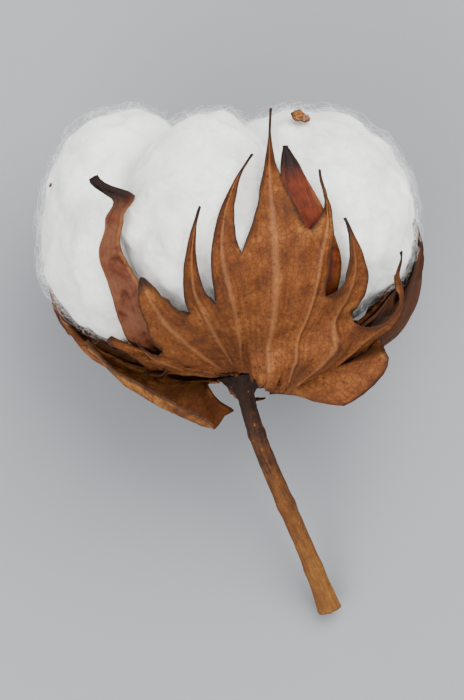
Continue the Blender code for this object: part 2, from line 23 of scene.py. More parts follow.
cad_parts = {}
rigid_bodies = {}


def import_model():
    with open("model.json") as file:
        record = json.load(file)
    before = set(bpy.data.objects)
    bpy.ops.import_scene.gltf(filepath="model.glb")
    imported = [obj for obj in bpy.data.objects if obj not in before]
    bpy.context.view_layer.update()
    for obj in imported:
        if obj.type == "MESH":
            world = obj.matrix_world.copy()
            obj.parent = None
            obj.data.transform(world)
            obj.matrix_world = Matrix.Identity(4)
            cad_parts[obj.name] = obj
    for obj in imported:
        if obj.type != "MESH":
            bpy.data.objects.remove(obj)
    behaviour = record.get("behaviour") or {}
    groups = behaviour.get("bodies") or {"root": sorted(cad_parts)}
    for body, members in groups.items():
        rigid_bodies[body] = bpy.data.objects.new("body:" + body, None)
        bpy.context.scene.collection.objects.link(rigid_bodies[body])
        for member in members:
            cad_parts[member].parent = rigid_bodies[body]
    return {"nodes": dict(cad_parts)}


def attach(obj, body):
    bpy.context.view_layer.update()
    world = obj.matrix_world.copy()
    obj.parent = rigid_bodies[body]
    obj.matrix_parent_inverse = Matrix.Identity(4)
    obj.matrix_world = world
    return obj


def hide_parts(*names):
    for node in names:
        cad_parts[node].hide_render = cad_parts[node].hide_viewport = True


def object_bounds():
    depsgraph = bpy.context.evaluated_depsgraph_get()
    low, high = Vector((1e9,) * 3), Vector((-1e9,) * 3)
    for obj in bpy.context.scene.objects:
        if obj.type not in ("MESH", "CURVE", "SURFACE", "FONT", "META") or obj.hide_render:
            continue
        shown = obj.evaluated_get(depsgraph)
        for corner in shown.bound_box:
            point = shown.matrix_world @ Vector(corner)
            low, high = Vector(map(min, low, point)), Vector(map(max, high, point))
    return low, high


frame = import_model()
CAD_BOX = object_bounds()

LOG = logging.getLogger("cotton_boll")

# The boll's own frame
LEAN = math.radians(7.0)  # of its axis, to the left as seen from above
TIP_UP = math.radians(5.0)  # the lint end is higher than the stalk end
HEART = Vector((0.0, 0.0, 0.0265))  # the middle of the lint
UP = Vector((0.0, 0.0, 1.0))
GAP = 0.00045  # between pieces that lie on each other
BEYOND = 0.2  # farther from the heart than any piece
BOWL_RADIUS = 0.0322  # of the open capsule
BOWL_DEPTH = 0.0232
BOWL_HEIGHT = 0.0262
BOWL_POWER = 2.3
NOISE_SEED = 4  # without one, noise_vector differs from run to run

Colour = tuple[float, float, float]


class Slot(Enum):
    """The record's material slots."""

    LINT = "lint"
    CAPSULE = "capsule"
    BRACT = "bract"
    BARK = "bark"


def tint(code: str) -> Colour:
    """Turns a six-digit sRGB colour code into linear red, green and blue."""
    parts = [int(code[place : place + 2], 16) / 255 for place in (0, 2, 4)]
    return tuple(part / 12.92 if part <= 0.04045 else ((part + 0.055) / 1.055) ** 2.4 for part in parts)


def mix(one: float, two: float, share: float) -> float:
    """Goes from one value to another as share goes from 0 to 1."""
    return one + (two - one) * share


def ease(low: float, high: float, value: float) -> float:
    """Rises smoothly from 0 at low to 1 at high."""
    share = min(max((value - low) / (high - low), 0.0), 1.0)
    return share * share * (3 - 2 * share)


def direction(azimuth: float, elevation: float) -> Vector:
    """The unit vector at these angles, in radians, seen from the heart."""
    level = math.cos(elevation)
    return Vector((level * math.sin(azimuth), -level * math.cos(azimuth), math.sin(elevation)))


def bezier(points: Sequence[Vector], share: float) -> Vector:
    """A point on the Bezier curve with these control points."""
    while len(points) > 1:
        points = [one.lerp(two, share) for one, two in zip(points, points[1:])]
    return points[0]


def follow(table: Sequence[tuple[float, float]], place: float) -> float:
    """Reads a smooth value from (place, value) pairs."""
    number = min(max(bisect.bisect(table, (place,)), 1), len(table) - 1)
    (low, before), (high, after) = table[number - 1], table[number]
    return mix(before, after, ease(low, high, place))


def hump(share: float) -> float:
    """Rises from 0 to 1 and falls back to 0 as share goes from 0 to 1."""
    return math.sin(math.pi * min(share, 1.0))


def bell(offset: float) -> float:
    """A smooth rise to 1 where the offset is 0."""
    return math.exp(-(offset**2))


def ripple(size: float, *place: float) -> float:
    """Smooth random relief that is up to about this high."""
    return size * noise.noise(Vector(place))


def put(name: str, data: bpy.types.ID) -> bpy.types.Object:
    """Puts a mesh, a curve, a lamp or a camera in the scene."""
    made = bpy.data.objects.new(name, data)
    bpy.context.scene.collection.objects.link(made)
    return made


def add_line(curve: bpy.types.Curve, places: Sequence[Sequence[float]], radii: Iterable[float]) -> None:
    """Adds a line through these places to a curve, with a radius at each."""
    spline = curve.splines.new("POLY")
    spline.points.add(len(places) - 1)
    for point, place, radius in zip(spline.points, places, radii):
        point.co = (*place, 1.0)
        point.radius = radius


def drawn_mesh(curve: bpy.types.Curve) -> bpy.types.Mesh:
    """The mesh of a curve that has a section."""
    drawn = put(curve.name, curve)
    bpy.context.view_layer.update()
    data = bpy.data.meshes.new_from_object(drawn.evaluated_get(bpy.context.evaluated_depsgraph_get()))
    bpy.data.objects.remove(drawn)
    return data


# ---------------------------------------------------------------- shader tools


@dataclass(frozen=True)
class Wire:
    """The value of a socket, whose arithmetic adds Math nodes to its material."""

    bench: "Bench"
    socket: bpy.types.NodeSocket

    def math(self, operation: str, *values: "Wire | float") -> "Wire":
        """The result of a Math node with these inputs."""
        return self.bench.add("ShaderNodeMath", {"operation": operation}, dict(enumerate(values)))

    def __add__(self, other: "Wire | float") -> "Wire":
        """Self + other."""
        return self.math("ADD", self, other)

    def __radd__(self, other: float) -> "Wire":
        """Other + self."""
        return self.math("ADD", other, self)

    def __sub__(self, other: "Wire | float") -> "Wire":
        """Self - other."""
        return self.math("SUBTRACT", self, other)

    def __rsub__(self, other: float) -> "Wire":
        """Other - self."""
        return self.math("SUBTRACT", other, self)

    def __mul__(self, other: "Wire | float") -> "Wire":
        """Self * other."""
        return self.math("MULTIPLY", self, other)

    def __rmul__(self, other: float) -> "Wire":
        """Other * self."""
        return self.math("MULTIPLY", other, self)

    def ramp(self, low: float, high: float) -> "Wire":
        """Goes smoothly from 0 to 1 as this value goes from low to high, or down to a lesser high."""
        values = {"Value": self, "From Min": low, "From Max": high}
        return self.bench.add("ShaderNodeMapRange", {"interpolation_type": "SMOOTHSTEP"}, values)


class Bench:
    """The node tree of one material, and the one way in which nodes are added to it."""

    def __init__(self, name: str) -> None:
        """Starts the material with its one shader."""
        self.material = bpy.data.materials.new(name)
        self.material.use_nodes = True
        self.tree = self.material.node_tree
        self.shader = self.tree.nodes["Principled BSDF"]

    @staticmethod
    def socket(sockets: Iterable[bpy.types.NodeSocket], key: int | str) -> bpy.types.NodeSocket:
        """Finds a socket by its place, its identifier or its name."""
        if isinstance(key, int):
            return sockets[key]
        return next(each for each in sockets if key in (each.identifier, each.name))

    def plug(self, node: bpy.types.Node, values: dict) -> None:
        """Sets or links a node's inputs.

        Args:
            node: The node.
            values: The number, colour, vector or wire for each input, by place, identifier or name.
        """
        for key, value in values.items():
            socket = self.socket(node.inputs, key)
            if isinstance(value, Wire):
                self.tree.links.new(value.socket, socket)
            elif socket.type == "RGBA":
                socket.default_value = (*value, 1.0)
            else:
                socket.default_value = value

    def add(
        self, kind: str, settings: dict | None = None, values: dict | None = None, output: int | str = 0
    ) -> Wire:
        """Adds a node.

        Args:
            kind: The node's type.
            settings: Its properties, and the stops of a colour ramp as (place, colour code) pairs.
            values: What its inputs are set or linked to.
            output: The output to return.

        Returns:
            The value of that output.
        """
        node = self.tree.nodes.new(kind)
        for name, setting in (settings or {}).items():
            if name == "stops":
                self.set_stops(node.color_ramp, setting)
            else:
                setattr(node, name, setting)
        self.plug(node, values or {})
        return Wire(self, self.socket(node.outputs, output))

    @staticmethod
    def set_stops(ramp: bpy.types.ColorRamp, stops: Sequence[tuple[float, str]]) -> None:
        """Gives a colour ramp its stops."""
        for index, (place, code) in enumerate(stops):
            stop = ramp.elements[index] if index < 2 else ramp.elements.new(place)
            stop.position = place
            stop.color = (*tint(code), 1.0)

    def place(self) -> Wire:
        """The position on the piece, in metres."""
        return self.add("ShaderNodeTexCoord", output="Object")

    def attribute(self, name: str) -> Wire:
        """A number that the piece's mesh holds."""
        return self.add("ShaderNodeAttribute", {"attribute_name": name}, output="Fac")

    def mapped(self, vector: Wire, scale: Sequence[float]) -> Wire:
        """A position, scaled differently along each axis."""
        return self.add("ShaderNodeMapping", None, {"Vector": vector, "Scale": scale})

    def leaf_map(self) -> Wire:
        """The position on the flat sheet that the piece was made from."""
        return self.add("ShaderNodeUVMap", {"uv_map": "leaf"})

    def cloud(
        self, vector: Wire, scale: float, detail: float = 3.0, rough: float = 0.55, warp: float = 0.0
    ) -> Wire:
        """Soft noise from 0 to 1, whose lumps are about 1 / scale across."""
        values = {"Vector": vector, "Scale": scale, "Detail": detail, "Roughness": rough, "Distortion": warp}
        return self.add("ShaderNodeTexNoise", None, values, "Fac")

    def cells(self, vector: Wire, scale: float, feature: str = "F1") -> Wire:
        """The distance to the nearest of many scattered points, or to the edge between two of them."""
        values = {"Vector": vector, "Scale": scale, "Randomness": 1.0}
        return self.add("ShaderNodeTexVoronoi", {"feature": feature}, values, "Distance")

    def coat(self, colour: Wire | Colour, *coats: tuple[str, Wire | float]) -> Wire:
        """Lays coats over a colour, each with its colour code and how far it hides what is under it."""
        for code, share in coats:
            values = {"Factor_Float": share, "A_Color": colour, "B_Color": tint(code)}
            colour = self.add("ShaderNodeMix", {"data_type": "RGBA"}, values, "Result_Color")
        return colour

    def colours(self, value: Wire, stops: Sequence[tuple[float, str]]) -> Wire:
        """The colour that a ramp gives to a value."""
        return self.add("ShaderNodeValToRGB", {"stops": stops}, {"Fac": value}, "Color")

    def bump(self, height: Wire, depth: float, strength: float) -> Wire:
        """The normal of a surface with this relief, whose full height is depth in metres."""
        values = {"Height": height, "Distance": depth, "Strength": strength}
        return self.add("ShaderNodeBump", None, values, "Normal")

    def vector(self, operation: str, output: str, *values: Wire | tuple) -> Wire:
        """The result of a Vector Math node with these inputs."""
        return self.add("ShaderNodeVectorMath", {"operation": operation}, dict(enumerate(values)), output)

    def facing_heart(self, heart: Vector) -> Wire:
        """How much a surface faces the middle of the boll, from 0 to 1."""
        inward = self.vector("SUBTRACT", "Vector", tuple(heart), self.place())
        unit = self.vector("NORMALIZE", "Vector", inward)
        normal = self.add("ShaderNodeNewGeometry", output="True Normal")
        return self.vector("DOT_PRODUCT", "Value", normal, unit).ramp(0.0, 0.35)

    def finish(
        self,
        colour: Wire | Colour,
        rough: Wire | float,
        gloss: float,
        normal: Wire | None = None,
        **more: object,
    ) -> bpy.types.Material:
        """Sets the shader's own sockets.

        Args:
            colour: The base colour.
            rough: The roughness.
            gloss: The specular level.
            normal: The bumped normal.
            more: The shader's other sockets, with _ for each space.

        Returns:
            The material.
        """
        values = {"Base Color": colour, "Roughness": rough, "Specular IOR Level": gloss}
        if normal:
            values["Normal"] = normal
        self.plug(self.shader, values | {name.replace("_", " "): value for name, value in more.items()})
        return self.material


# ---------------------------------------------------------------- finishes


@dataclass(frozen=True)
class LintFinish:
    """Soft matte cotton: nearly white, with a faint warm stain here and there and fine crossing fibres."""

    name: str = "lint_mass"
    clean: str = "F6F5F1"
    stained: str = "E9E4D6"
    cool: str = "E6E8E2"
    depth: float = 0.00035

    def material(self) -> bpy.types.Material:
        """Makes the material."""
        bench = Bench(self.name)
        spot = bench.place()
        stain = bench.cloud(spot, 60.0, 2.0).ramp(0.56, 0.74)
        cool = bench.cloud(spot, 35.0, 1.0).ramp(0.45, 0.7)
        colour = bench.coat(tint(self.clean), (self.cool, cool * 0.7), (self.stained, stain * 0.6))
        crossed = bench.cloud(bench.mapped(spot, (1.0, 0.35, 0.8)), 2600.0, 4.0, 0.65, 1.2)
        tangled = bench.cloud(bench.mapped(spot, (0.35, 1.0, 0.5)), 1900.0, 4.0, 0.65, 1.6)
        soft = bench.cloud(spot, 480.0, 3.0, 0.6, 0.8)
        relief = crossed * 0.35 + tangled * 0.35 + soft * 0.6
        return bench.finish(
            colour,
            0.95,
            0.1,
            bench.bump(relief, self.depth, 0.7),
            Subsurface_Weight=0.35,
            Subsurface_Radius=(0.003, 0.003, 0.0028),
            Subsurface_Scale=1.0,
            Sheen_Weight=0.35,
            Sheen_Roughness=0.7,
        )


@dataclass(frozen=True)
class FibreFinish:
    """Loose cotton fibre, whiter and a little glossier than the mass it comes from."""

    name: str = "lint_fibre"
    clean: str = "F8F7F4"

    def material(self) -> bpy.types.Material:
        """Makes the material."""
        return Bench(self.name).finish(tint(self.clean), 0.8, 0.2, Sheen_Weight=0.5, Sheen_Roughness=0.6)


@dataclass(frozen=True)
class LeafFinish:
    """Dry papery leaf: mottled brown, with ribs, a net of fine veins, gland dots, dark rims and dark tips,
    and painted shade on the faces turned towards the boll and over a whole leaf that lies in shadow.
    """

    name: str
    heart: Vector
    dark: str = "2C1303"
    brown: str = "502706"
    tan: str = "643610"
    bright: str = "885A2C"
    rib: str = "956540"
    # painted shade for the faces turned towards the boll
    inner: str = "40220C"
    rim: str = "1C0B03"
    depth: float = 0.00022  # of its finest relief
    shade: float = 0.0  # how much painted shade darkens this whole leaf, for a bract that lies in shadow

    def material(self) -> bpy.types.Material:
        """Makes the material."""
        bench = Bench(self.name)
        spot = bench.place()
        rib, rim, tip = (bench.attribute(name) for name in ("rib", "rim", "tip"))
        patches = bench.cloud(spot, 210.0, 4.0, 0.62, 0.6)
        freckles = bench.cloud(spot, 950.0, 5.0, 0.7)
        streaks = bench.cloud(bench.mapped(bench.leaf_map(), (34.0, 2.2, 1.0)), 1.0, 4.0, 0.65, 0.3)
        net = bench.cells(spot, 900.0, "DISTANCE_TO_EDGE").ramp(0.10, 0.0)
        dots = bench.cells(spot, 620.0).ramp(0.20, 0.12)
        worn = bench.cloud(spot, 500.0, 4.0, 0.7)
        tone = patches * 0.50 + freckles * 0.22 + streaks * 0.28
        stops = ((0.33, self.dark), (0.46, self.brown), (0.56, self.tan), (0.69, self.bright))
        colour = bench.coat(
            bench.colours(tone, stops),
            (self.dark, net * 0.35),
            (self.rib, rib.ramp(0.35, 0.9) * 0.24),
            (self.rim, dots * 0.45),
            (self.rim, (rim * 0.9 + worn * 0.5 - 0.45).ramp(0.15, 0.75) * 0.8),
            (self.rim, (tip + worn * 0.35 - 0.18).ramp(0.35, 0.95) * 0.92),
            # painted shade: faces turned towards the boll's heart take the dark inner colour
            (self.inner, bench.facing_heart(self.heart) * 0.6),
            # painted shade over the whole leaf, for a bract that lies in shadow
            (self.dark, self.shade),
        )
        relief = rib * 0.8 + net * 0.30 + freckles * 0.45 + streaks * 0.5 - dots * 0.25
        rough = 0.62 + freckles * 0.3 - rib * 0.1
        return bench.finish(colour, rough, 0.22, bench.bump(relief, self.depth, 0.8))


@dataclass(frozen=True)
class CapsuleFinish:
    """Woody dried capsule: red brown with lengthwise streaks, pale rims and a nearly black point."""

    name: str
    heart: Vector
    dark: str = "240D03"
    brown: str = "4C1A05"
    bright: str = "662708"
    inner: str = "7A5422"
    rim: str = "7A4A1C"
    point: str = "100706"
    faded: str = "664630"
    depth: float = 0.0003
    fade: float = 0.0  # how far the sun has bleached it

    def material(self) -> bpy.types.Material:
        """Makes the material."""
        bench = Bench(self.name)
        spot = bench.place()
        rim, tip = (bench.attribute(name) for name in ("rim", "tip"))
        streaks = bench.cloud(bench.mapped(bench.leaf_map(), (7.0, 5.0, 1.0)), 1.0, 5.0, 0.65, 0.5)
        patches = bench.cloud(spot, 260.0, 4.0, 0.6, 0.5)
        grit = bench.cloud(spot, 1700.0, 4.0, 0.7)
        tone = streaks * 0.45 + patches * 0.40 + grit * 0.15
        worn = rim.ramp(0.35, 1.0) * bench.cloud(spot, 700.0, 3.0).ramp(0.35, 0.6)
        colour = bench.coat(
            bench.colours(tone, ((0.36, self.dark), (0.50, self.brown), (0.66, self.bright))),
            (self.rim, worn * 0.55),
            (self.faded, patches.ramp(0.30, 0.65) * self.fade),
            (self.inner, bench.facing_heart(self.heart) * 0.8),
            (self.point, (tip + grit * 0.3 - 0.15).ramp(0.35, 0.9) * 0.95),
        )
        warts = bench.cells(spot, 1100.0).ramp(0.35, 0.05)
        relief = streaks * 0.6 + grit * 0.35 + warts * 0.25
        return bench.finish(colour, 0.45 + grit * 0.35, 0.16, bench.bump(relief, self.depth, 0.8))


@dataclass(frozen=True)
class BarkFinish:
    """The stalk's thin bark: painted shade darkens it to nearly black brown under the boll, warm tan lower
    down, ribbed lengthwise.
    """

    name: str = "stalk_bark"
    dark: str = "0A0301"
    brown: str = "2A1204"
    tan: str = "5A3411"
    cork: str = "744D1A"
    depth: float = 0.00025

    def material(self) -> bpy.types.Material:
        """Makes the material."""
        bench = Bench(self.name)
        spot = bench.place()
        along = bench.attribute("along")
        ribs = bench.cloud(bench.mapped(bench.leaf_map(), (26.0, 3.0, 1.0)), 1.0, 4.0, 0.6, 0.3)
        patches = bench.cloud(spot, 330.0, 4.0, 0.65)
        grit = bench.cloud(spot, 2100.0, 3.0, 0.7)
        # painted shade: the along term darkens the bark towards the boll, whose shadow falls on it
        tone = ribs * 0.40 + patches * 0.40 + grit * 0.20 + along * 0.42 - 0.17
        stops = ((0.28, self.dark), (0.48, self.brown), (0.66, self.tan), (0.86, self.cork))
        pores = bench.cells(bench.mapped(spot, (1.0, 0.45, 1.0)), 520.0).ramp(0.16, 0.08)
        colour = bench.coat(bench.colours(tone, stops), (self.cork, pores * 0.55))
        relief = ribs * 0.9 + grit * 0.25 + pores * 0.6
        return bench.finish(colour, 0.5 + grit * 0.35, 0.2, bench.bump(relief, self.depth, 0.9))


@dataclass(frozen=True)
class PithFinish:
    """The pale, splintery wood of a snapped stalk."""

    name: str = "stalk_pith"
    pale: str = "A08A64"
    dark: str = "644422"
    depth: float = 0.0002

    def material(self) -> bpy.types.Material:
        """Makes the material."""
        bench = Bench(self.name)
        spot = bench.place()
        fibres = bench.cloud(bench.mapped(spot, (1.0, 0.4, 1.0)), 3000.0, 3.0, 0.7)
        colour = bench.coat(tint(self.dark), (self.pale, fibres.ramp(0.3, 0.65)))
        return bench.finish(colour, 0.85, 0.5, bench.bump(fibres, self.depth, 1.0))


@dataclass(frozen=True)
class TableFinish:
    """A plain pale tabletop."""

    name: str = "table"
    colour: str = "828386"

    def material(self) -> bpy.types.Material:
        """Makes the material."""
        return Bench(self.name).finish(tint(self.colour), 0.9, 0.15)


# ---------------------------------------------------------------- laying and wrapping


@dataclass(frozen=True)
class Lie:
    """How the upright boll lies on the table."""

    turn: Matrix
    origin: Vector

    @classmethod
    def of_stalk(cls, top_drop: float = 0.0003) -> "Lie":
        """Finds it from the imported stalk.

        Args:
            top_drop: How far the stalk's flat top lies under the origin.

        Returns:
            The turn and the place of the boll's own frame.
        """
        turn = Matrix.Rotation(LEAN, 3, "Z") @ Matrix.Rotation(TIP_UP - math.pi / 2, 3, "X")
        upright = [turn.transposed() @ vertex.co for vertex in frame["nodes"]["stalk"].data.vertices]
        top = max(spot.z for spot in upright)
        cap = [spot for spot in upright if spot.z > top - top_drop / 3]
        middle = [(min(spot[axis] for spot in cap) + max(spot[axis] for spot in cap)) / 2 for axis in (0, 1)]
        return cls(turn, turn @ Vector((*middle, top + top_drop)))

    @property
    def matrix(self) -> Matrix:
        """Takes a point of the upright boll to where it lies."""
        return Matrix.Translation(self.origin) @ self.turn.to_4x4()

    @property
    def down(self) -> Vector:
        """The way down to the table, in the boll's own frame."""
        return self.turn.transposed() @ Vector((0.0, 0.0, -1.0))

    def settle(self, spot: Vector, clear: float = 0.0) -> Vector:
        """Raises a point that would lie lower than this far over the table."""
        depth = spot.dot(self.down) - (self.origin.z - clear)
        return spot - self.down * max(depth, 0.0)


class Under:
    """The pieces already in place, which the next sheet is laid over, as seen from the heart."""

    def __init__(self, lie: Lie) -> None:
        """Starts with nothing."""
        self.lie = lie
        self.trees: list[BVHTree] = []

    def add(self, meshes: Iterable[bpy.types.Mesh]) -> None:
        """Adds meshes that lie in place, taken back to the upright frame."""
        upright = self.lie.matrix.inverted()
        spots, corners = [], []
        for mesh in meshes:
            corners += [[len(spots) + each for each in polygon.vertices] for polygon in mesh.polygons]
            spots += [upright @ vertex.co for vertex in mesh.vertices]
        self.trees.append(BVHTree.FromPolygons(spots, corners))

    def add_piece(self, piece: bpy.types.Object) -> None:
        """Adds a finished piece with its wall."""
        bpy.context.view_layer.update()
        shape = piece.evaluated_get(bpy.context.evaluated_depsgraph_get())
        self.add([shape.to_mesh()])
        shape.to_mesh_clear()

    def outermost(self, ray: Vector) -> float:
        """How far from the heart the outermost piece lies along a ray, or 0."""
        hits = (tree.ray_cast(HEART + ray * BEYOND, -ray, BEYOND) for tree in self.trees)
        return max((BEYOND - hit[3] for hit in hits if hit[0] is not None), default=0.0)

    def innermost(self, ray: Vector) -> float:
        """How far from the heart the innermost piece lies along a ray, or a long way."""
        hits = (tree.ray_cast(HEART, ray, BEYOND) for tree in self.trees)
        return min((hit[3] for hit in hits if hit[0] is not None), default=BEYOND)

    def held(self, spot: Vector, gap: float) -> Vector:
        """Keeps a spot this far under the leaf or valve over it."""
        offset = spot - HEART
        ray = offset.normalized()
        return HEART + ray * min(offset.length, self.innermost(ray) - gap)

    def clearance(self, ray: Vector, distance: float, reach: float) -> float:
        """The least distance from the heart at which a sheet clears everything within reach of a ray."""
        side = ray.orthogonal().normalized() * (reach / distance)
        around = [Matrix.Rotation(turn * math.pi / 3, 3, ray) @ side for turn in range(6)]
        rays = [ray, *((ray + step).normalized() for step in around)]
        return max(self.outermost(each) for each in rays) + GAP


class Workshop:
    """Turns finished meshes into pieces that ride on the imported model."""

    def __init__(self, lie: Lie) -> None:
        """Keeps the way that the boll lies."""
        self.lie = lie

    def piece(
        self,
        name: str,
        shape: bmesh.types.BMesh | bpy.types.Mesh,
        materials: Sequence[bpy.types.Material],
        slot: Slot,
        nodes: Sequence[str] = (),
        wall: float = 0.0,
    ) -> bpy.types.Object:
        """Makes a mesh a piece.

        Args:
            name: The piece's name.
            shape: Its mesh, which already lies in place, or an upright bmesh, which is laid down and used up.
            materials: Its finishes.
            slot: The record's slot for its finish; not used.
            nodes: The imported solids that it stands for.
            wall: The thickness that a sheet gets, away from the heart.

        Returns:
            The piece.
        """
        data = shape
        if isinstance(shape, bmesh.types.BMesh):
            bmesh.ops.transform(shape, matrix=self.lie.matrix, verts=shape.verts)
            data = bpy.data.meshes.new(name)
            shape.to_mesh(data)
            shape.free()
        data.shade_smooth()
        for material in materials:
            data.materials.append(material)
        made = put(name, data)
        if wall:
            solid = made.modifiers.new("wall", "SOLIDIFY")
            solid.thickness = wall
            solid.offset = 1.0
        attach(made, "root")
        if nodes:
            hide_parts(*nodes)
        LOG.info("%s: %d faces, stands for %s", name, len(data.polygons), ", ".join(nodes) or "nothing")
        return made


def sheet_grid(columns: int, rows: int) -> bmesh.types.BMesh:
    """A flat sheet whose vertices stand at whole (column, row) places."""
    mesh = bmesh.new()
    bmesh.ops.create_grid(mesh, x_segments=columns, y_segments=rows, size=1.0)
    for vertex in mesh.verts:
        vertex.co = (round((vertex.co.x + 1) / 2 * columns), round((vertex.co.y + 1) / 2 * rows), 0.0)
    return mesh


def put_in_order(parts: bmesh.types.BMVertSeq | bmesh.types.BMFaceSeq, place: Callable) -> None:
    """Numbers vertices or faces by where they are, because those of a new ball come in no fixed order."""
    for number, part in enumerate(sorted(parts, key=lambda part: [round(each, 4) for each in place(part)])):
        part.index = number
    parts.sort()


def face_outwards(mesh: bmesh.types.BMesh) -> None:
    """Turns a sheet's faces away from the heart."""
    bmesh.ops.recalc_face_normals(mesh, faces=mesh.faces)
    out = (face.calc_area() * face.normal.dot(face.calc_center_median() - HEART) for face in mesh.faces)
    if sum(out) < 0:
        bmesh.ops.reverse_faces(mesh, faces=mesh.faces)


class Sheet:
    """A leafy or woody sheet that is draped over what lies under it and then given its relief."""

    MARKS = ("rib", "rim", "tip")

    def __init__(self, mesh: bmesh.types.BMesh) -> None:
        """Takes a flat grid, which keeps its marks and its leaf map."""
        self.mesh = mesh
        self.marks = [mesh.verts.layers.float.new(name) for name in self.MARKS]
        self.map = mesh.loops.layers.uv.new("leaf")
        self.bulges: dict[bmesh.types.BMVert, float] = {}
        self.flat: dict[bmesh.types.BMVert, tuple[float, float]] = {}

    def note(self, vertex: bmesh.types.BMVert, flat: tuple, marks: tuple, bulge: float = 0.0) -> None:
        """Notes a vertex's place on the flat sheet, how much of it is rib, rim and tip, and its bulge."""
        self.flat[vertex] = flat
        self.bulges[vertex] = bulge
        for layer, value in zip(self.marks, marks):
            vertex[layer] = value

    def drape(self, spots: dict, lifts: dict, under: Under, rounds: int, reach: float = 0.0012) -> None:
        """Lays the sheet over what is under it, and lets it hang smoothly between the high spots.

        Args:
            spots: Where each vertex would stand over nothing.
            lifts: How far each vertex stands off what it lies on.
            under: What lies under the sheet.
            rounds: How often each vertex is drawn towards its neighbours.
            reach: How far to the side of a vertex the sheet still has to clear things.
        """
        rays, floors, heights = {}, {}, {}
        for vertex, spot in spots.items():
            offset = spot - HEART
            rays[vertex] = offset.normalized()
            floors[vertex] = under.clearance(rays[vertex], offset.length, reach)
            heights[vertex] = max(offset.length, floors[vertex]) + lifts[vertex]
        around = {vertex: [edge.other_vert(vertex) for edge in vertex.link_edges] for vertex in spots}
        for _ in range(rounds):
            level = {each: sum(heights[one] for one in near) / len(near) for each, near in around.items()}
            heights = {each: max(mix(heights[each], level[each], 0.5), floors[each]) for each in heights}
        for vertex, height in heights.items():
            vertex.co = HEART + rays[vertex] * height

    def emboss(self) -> None:
        """Gives the draped sheet its relief, and writes its leaf map."""
        face_outwards(self.mesh)
        self.mesh.normal_update()
        for vertex, bulge in self.bulges.items():
            vertex.co += vertex.normal * bulge
        for face in self.mesh.faces:
            for loop in face.loops:
                loop[self.map].uv = self.flat[loop.vert]


# ---------------------------------------------------------------- the dried capsule


def bowl(elevation: float) -> float:
    """The open capsule's distance from the heart at an elevation."""
    tall = BOWL_HEIGHT if elevation > 0 else BOWL_DEPTH
    level = abs(math.cos(elevation) / BOWL_RADIUS) ** BOWL_POWER
    upright = abs(math.sin(elevation) / tall) ** BOWL_POWER
    return (level + upright) ** (-1 / BOWL_POWER)


@dataclass(frozen=True)
class Valve:
    """One wall of the dried capsule, between two locks of lint.

    The sways are (share of the way up, degrees to the right) pairs that its middle line follows.
    """

    number: int
    azimuth: float
    half_width: float
    tip: float  # elevation of its tip, degrees
    curl: float  # how far its tip bends out
    sways: tuple = ((0.0, 0.0), (0.5, 1.2), (0.8, -1.0), (1.0, 1.5))
    fullness: float = 2.4  # how far up it stays broad
    flap: float = 0.0  # widens it beside its point
    hook: float = 0.0  # lifts its point off the lint
    bleached: bool = False


VALVES = (
    Valve(1, -112.0, 0.0056, 8.0, 0.0022),
    Valve(
        2,
        -42.0,
        0.0040,
        18.0,
        0.0022,
        ((0.0, 0.0), (0.36, -6.0), (0.66, 3.0), (0.79, 0.5), (0.875, 4.0), (0.93, 8.0), (1.0, -1.0)),
        3.2,
        0.0020,
        0.0014,
        True,
    ),
    Valve(3, 27.0, 0.0060, 21.0, 0.0014, ((0.0, 0.0), (0.6, 0.0), (1.0, -4.0)), 4.0),
    Valve(4, 94.0, 0.0056, 12.0, 0.0026),
    Valve(5, 138.0, 0.0056, 14.0, 0.0010),
)


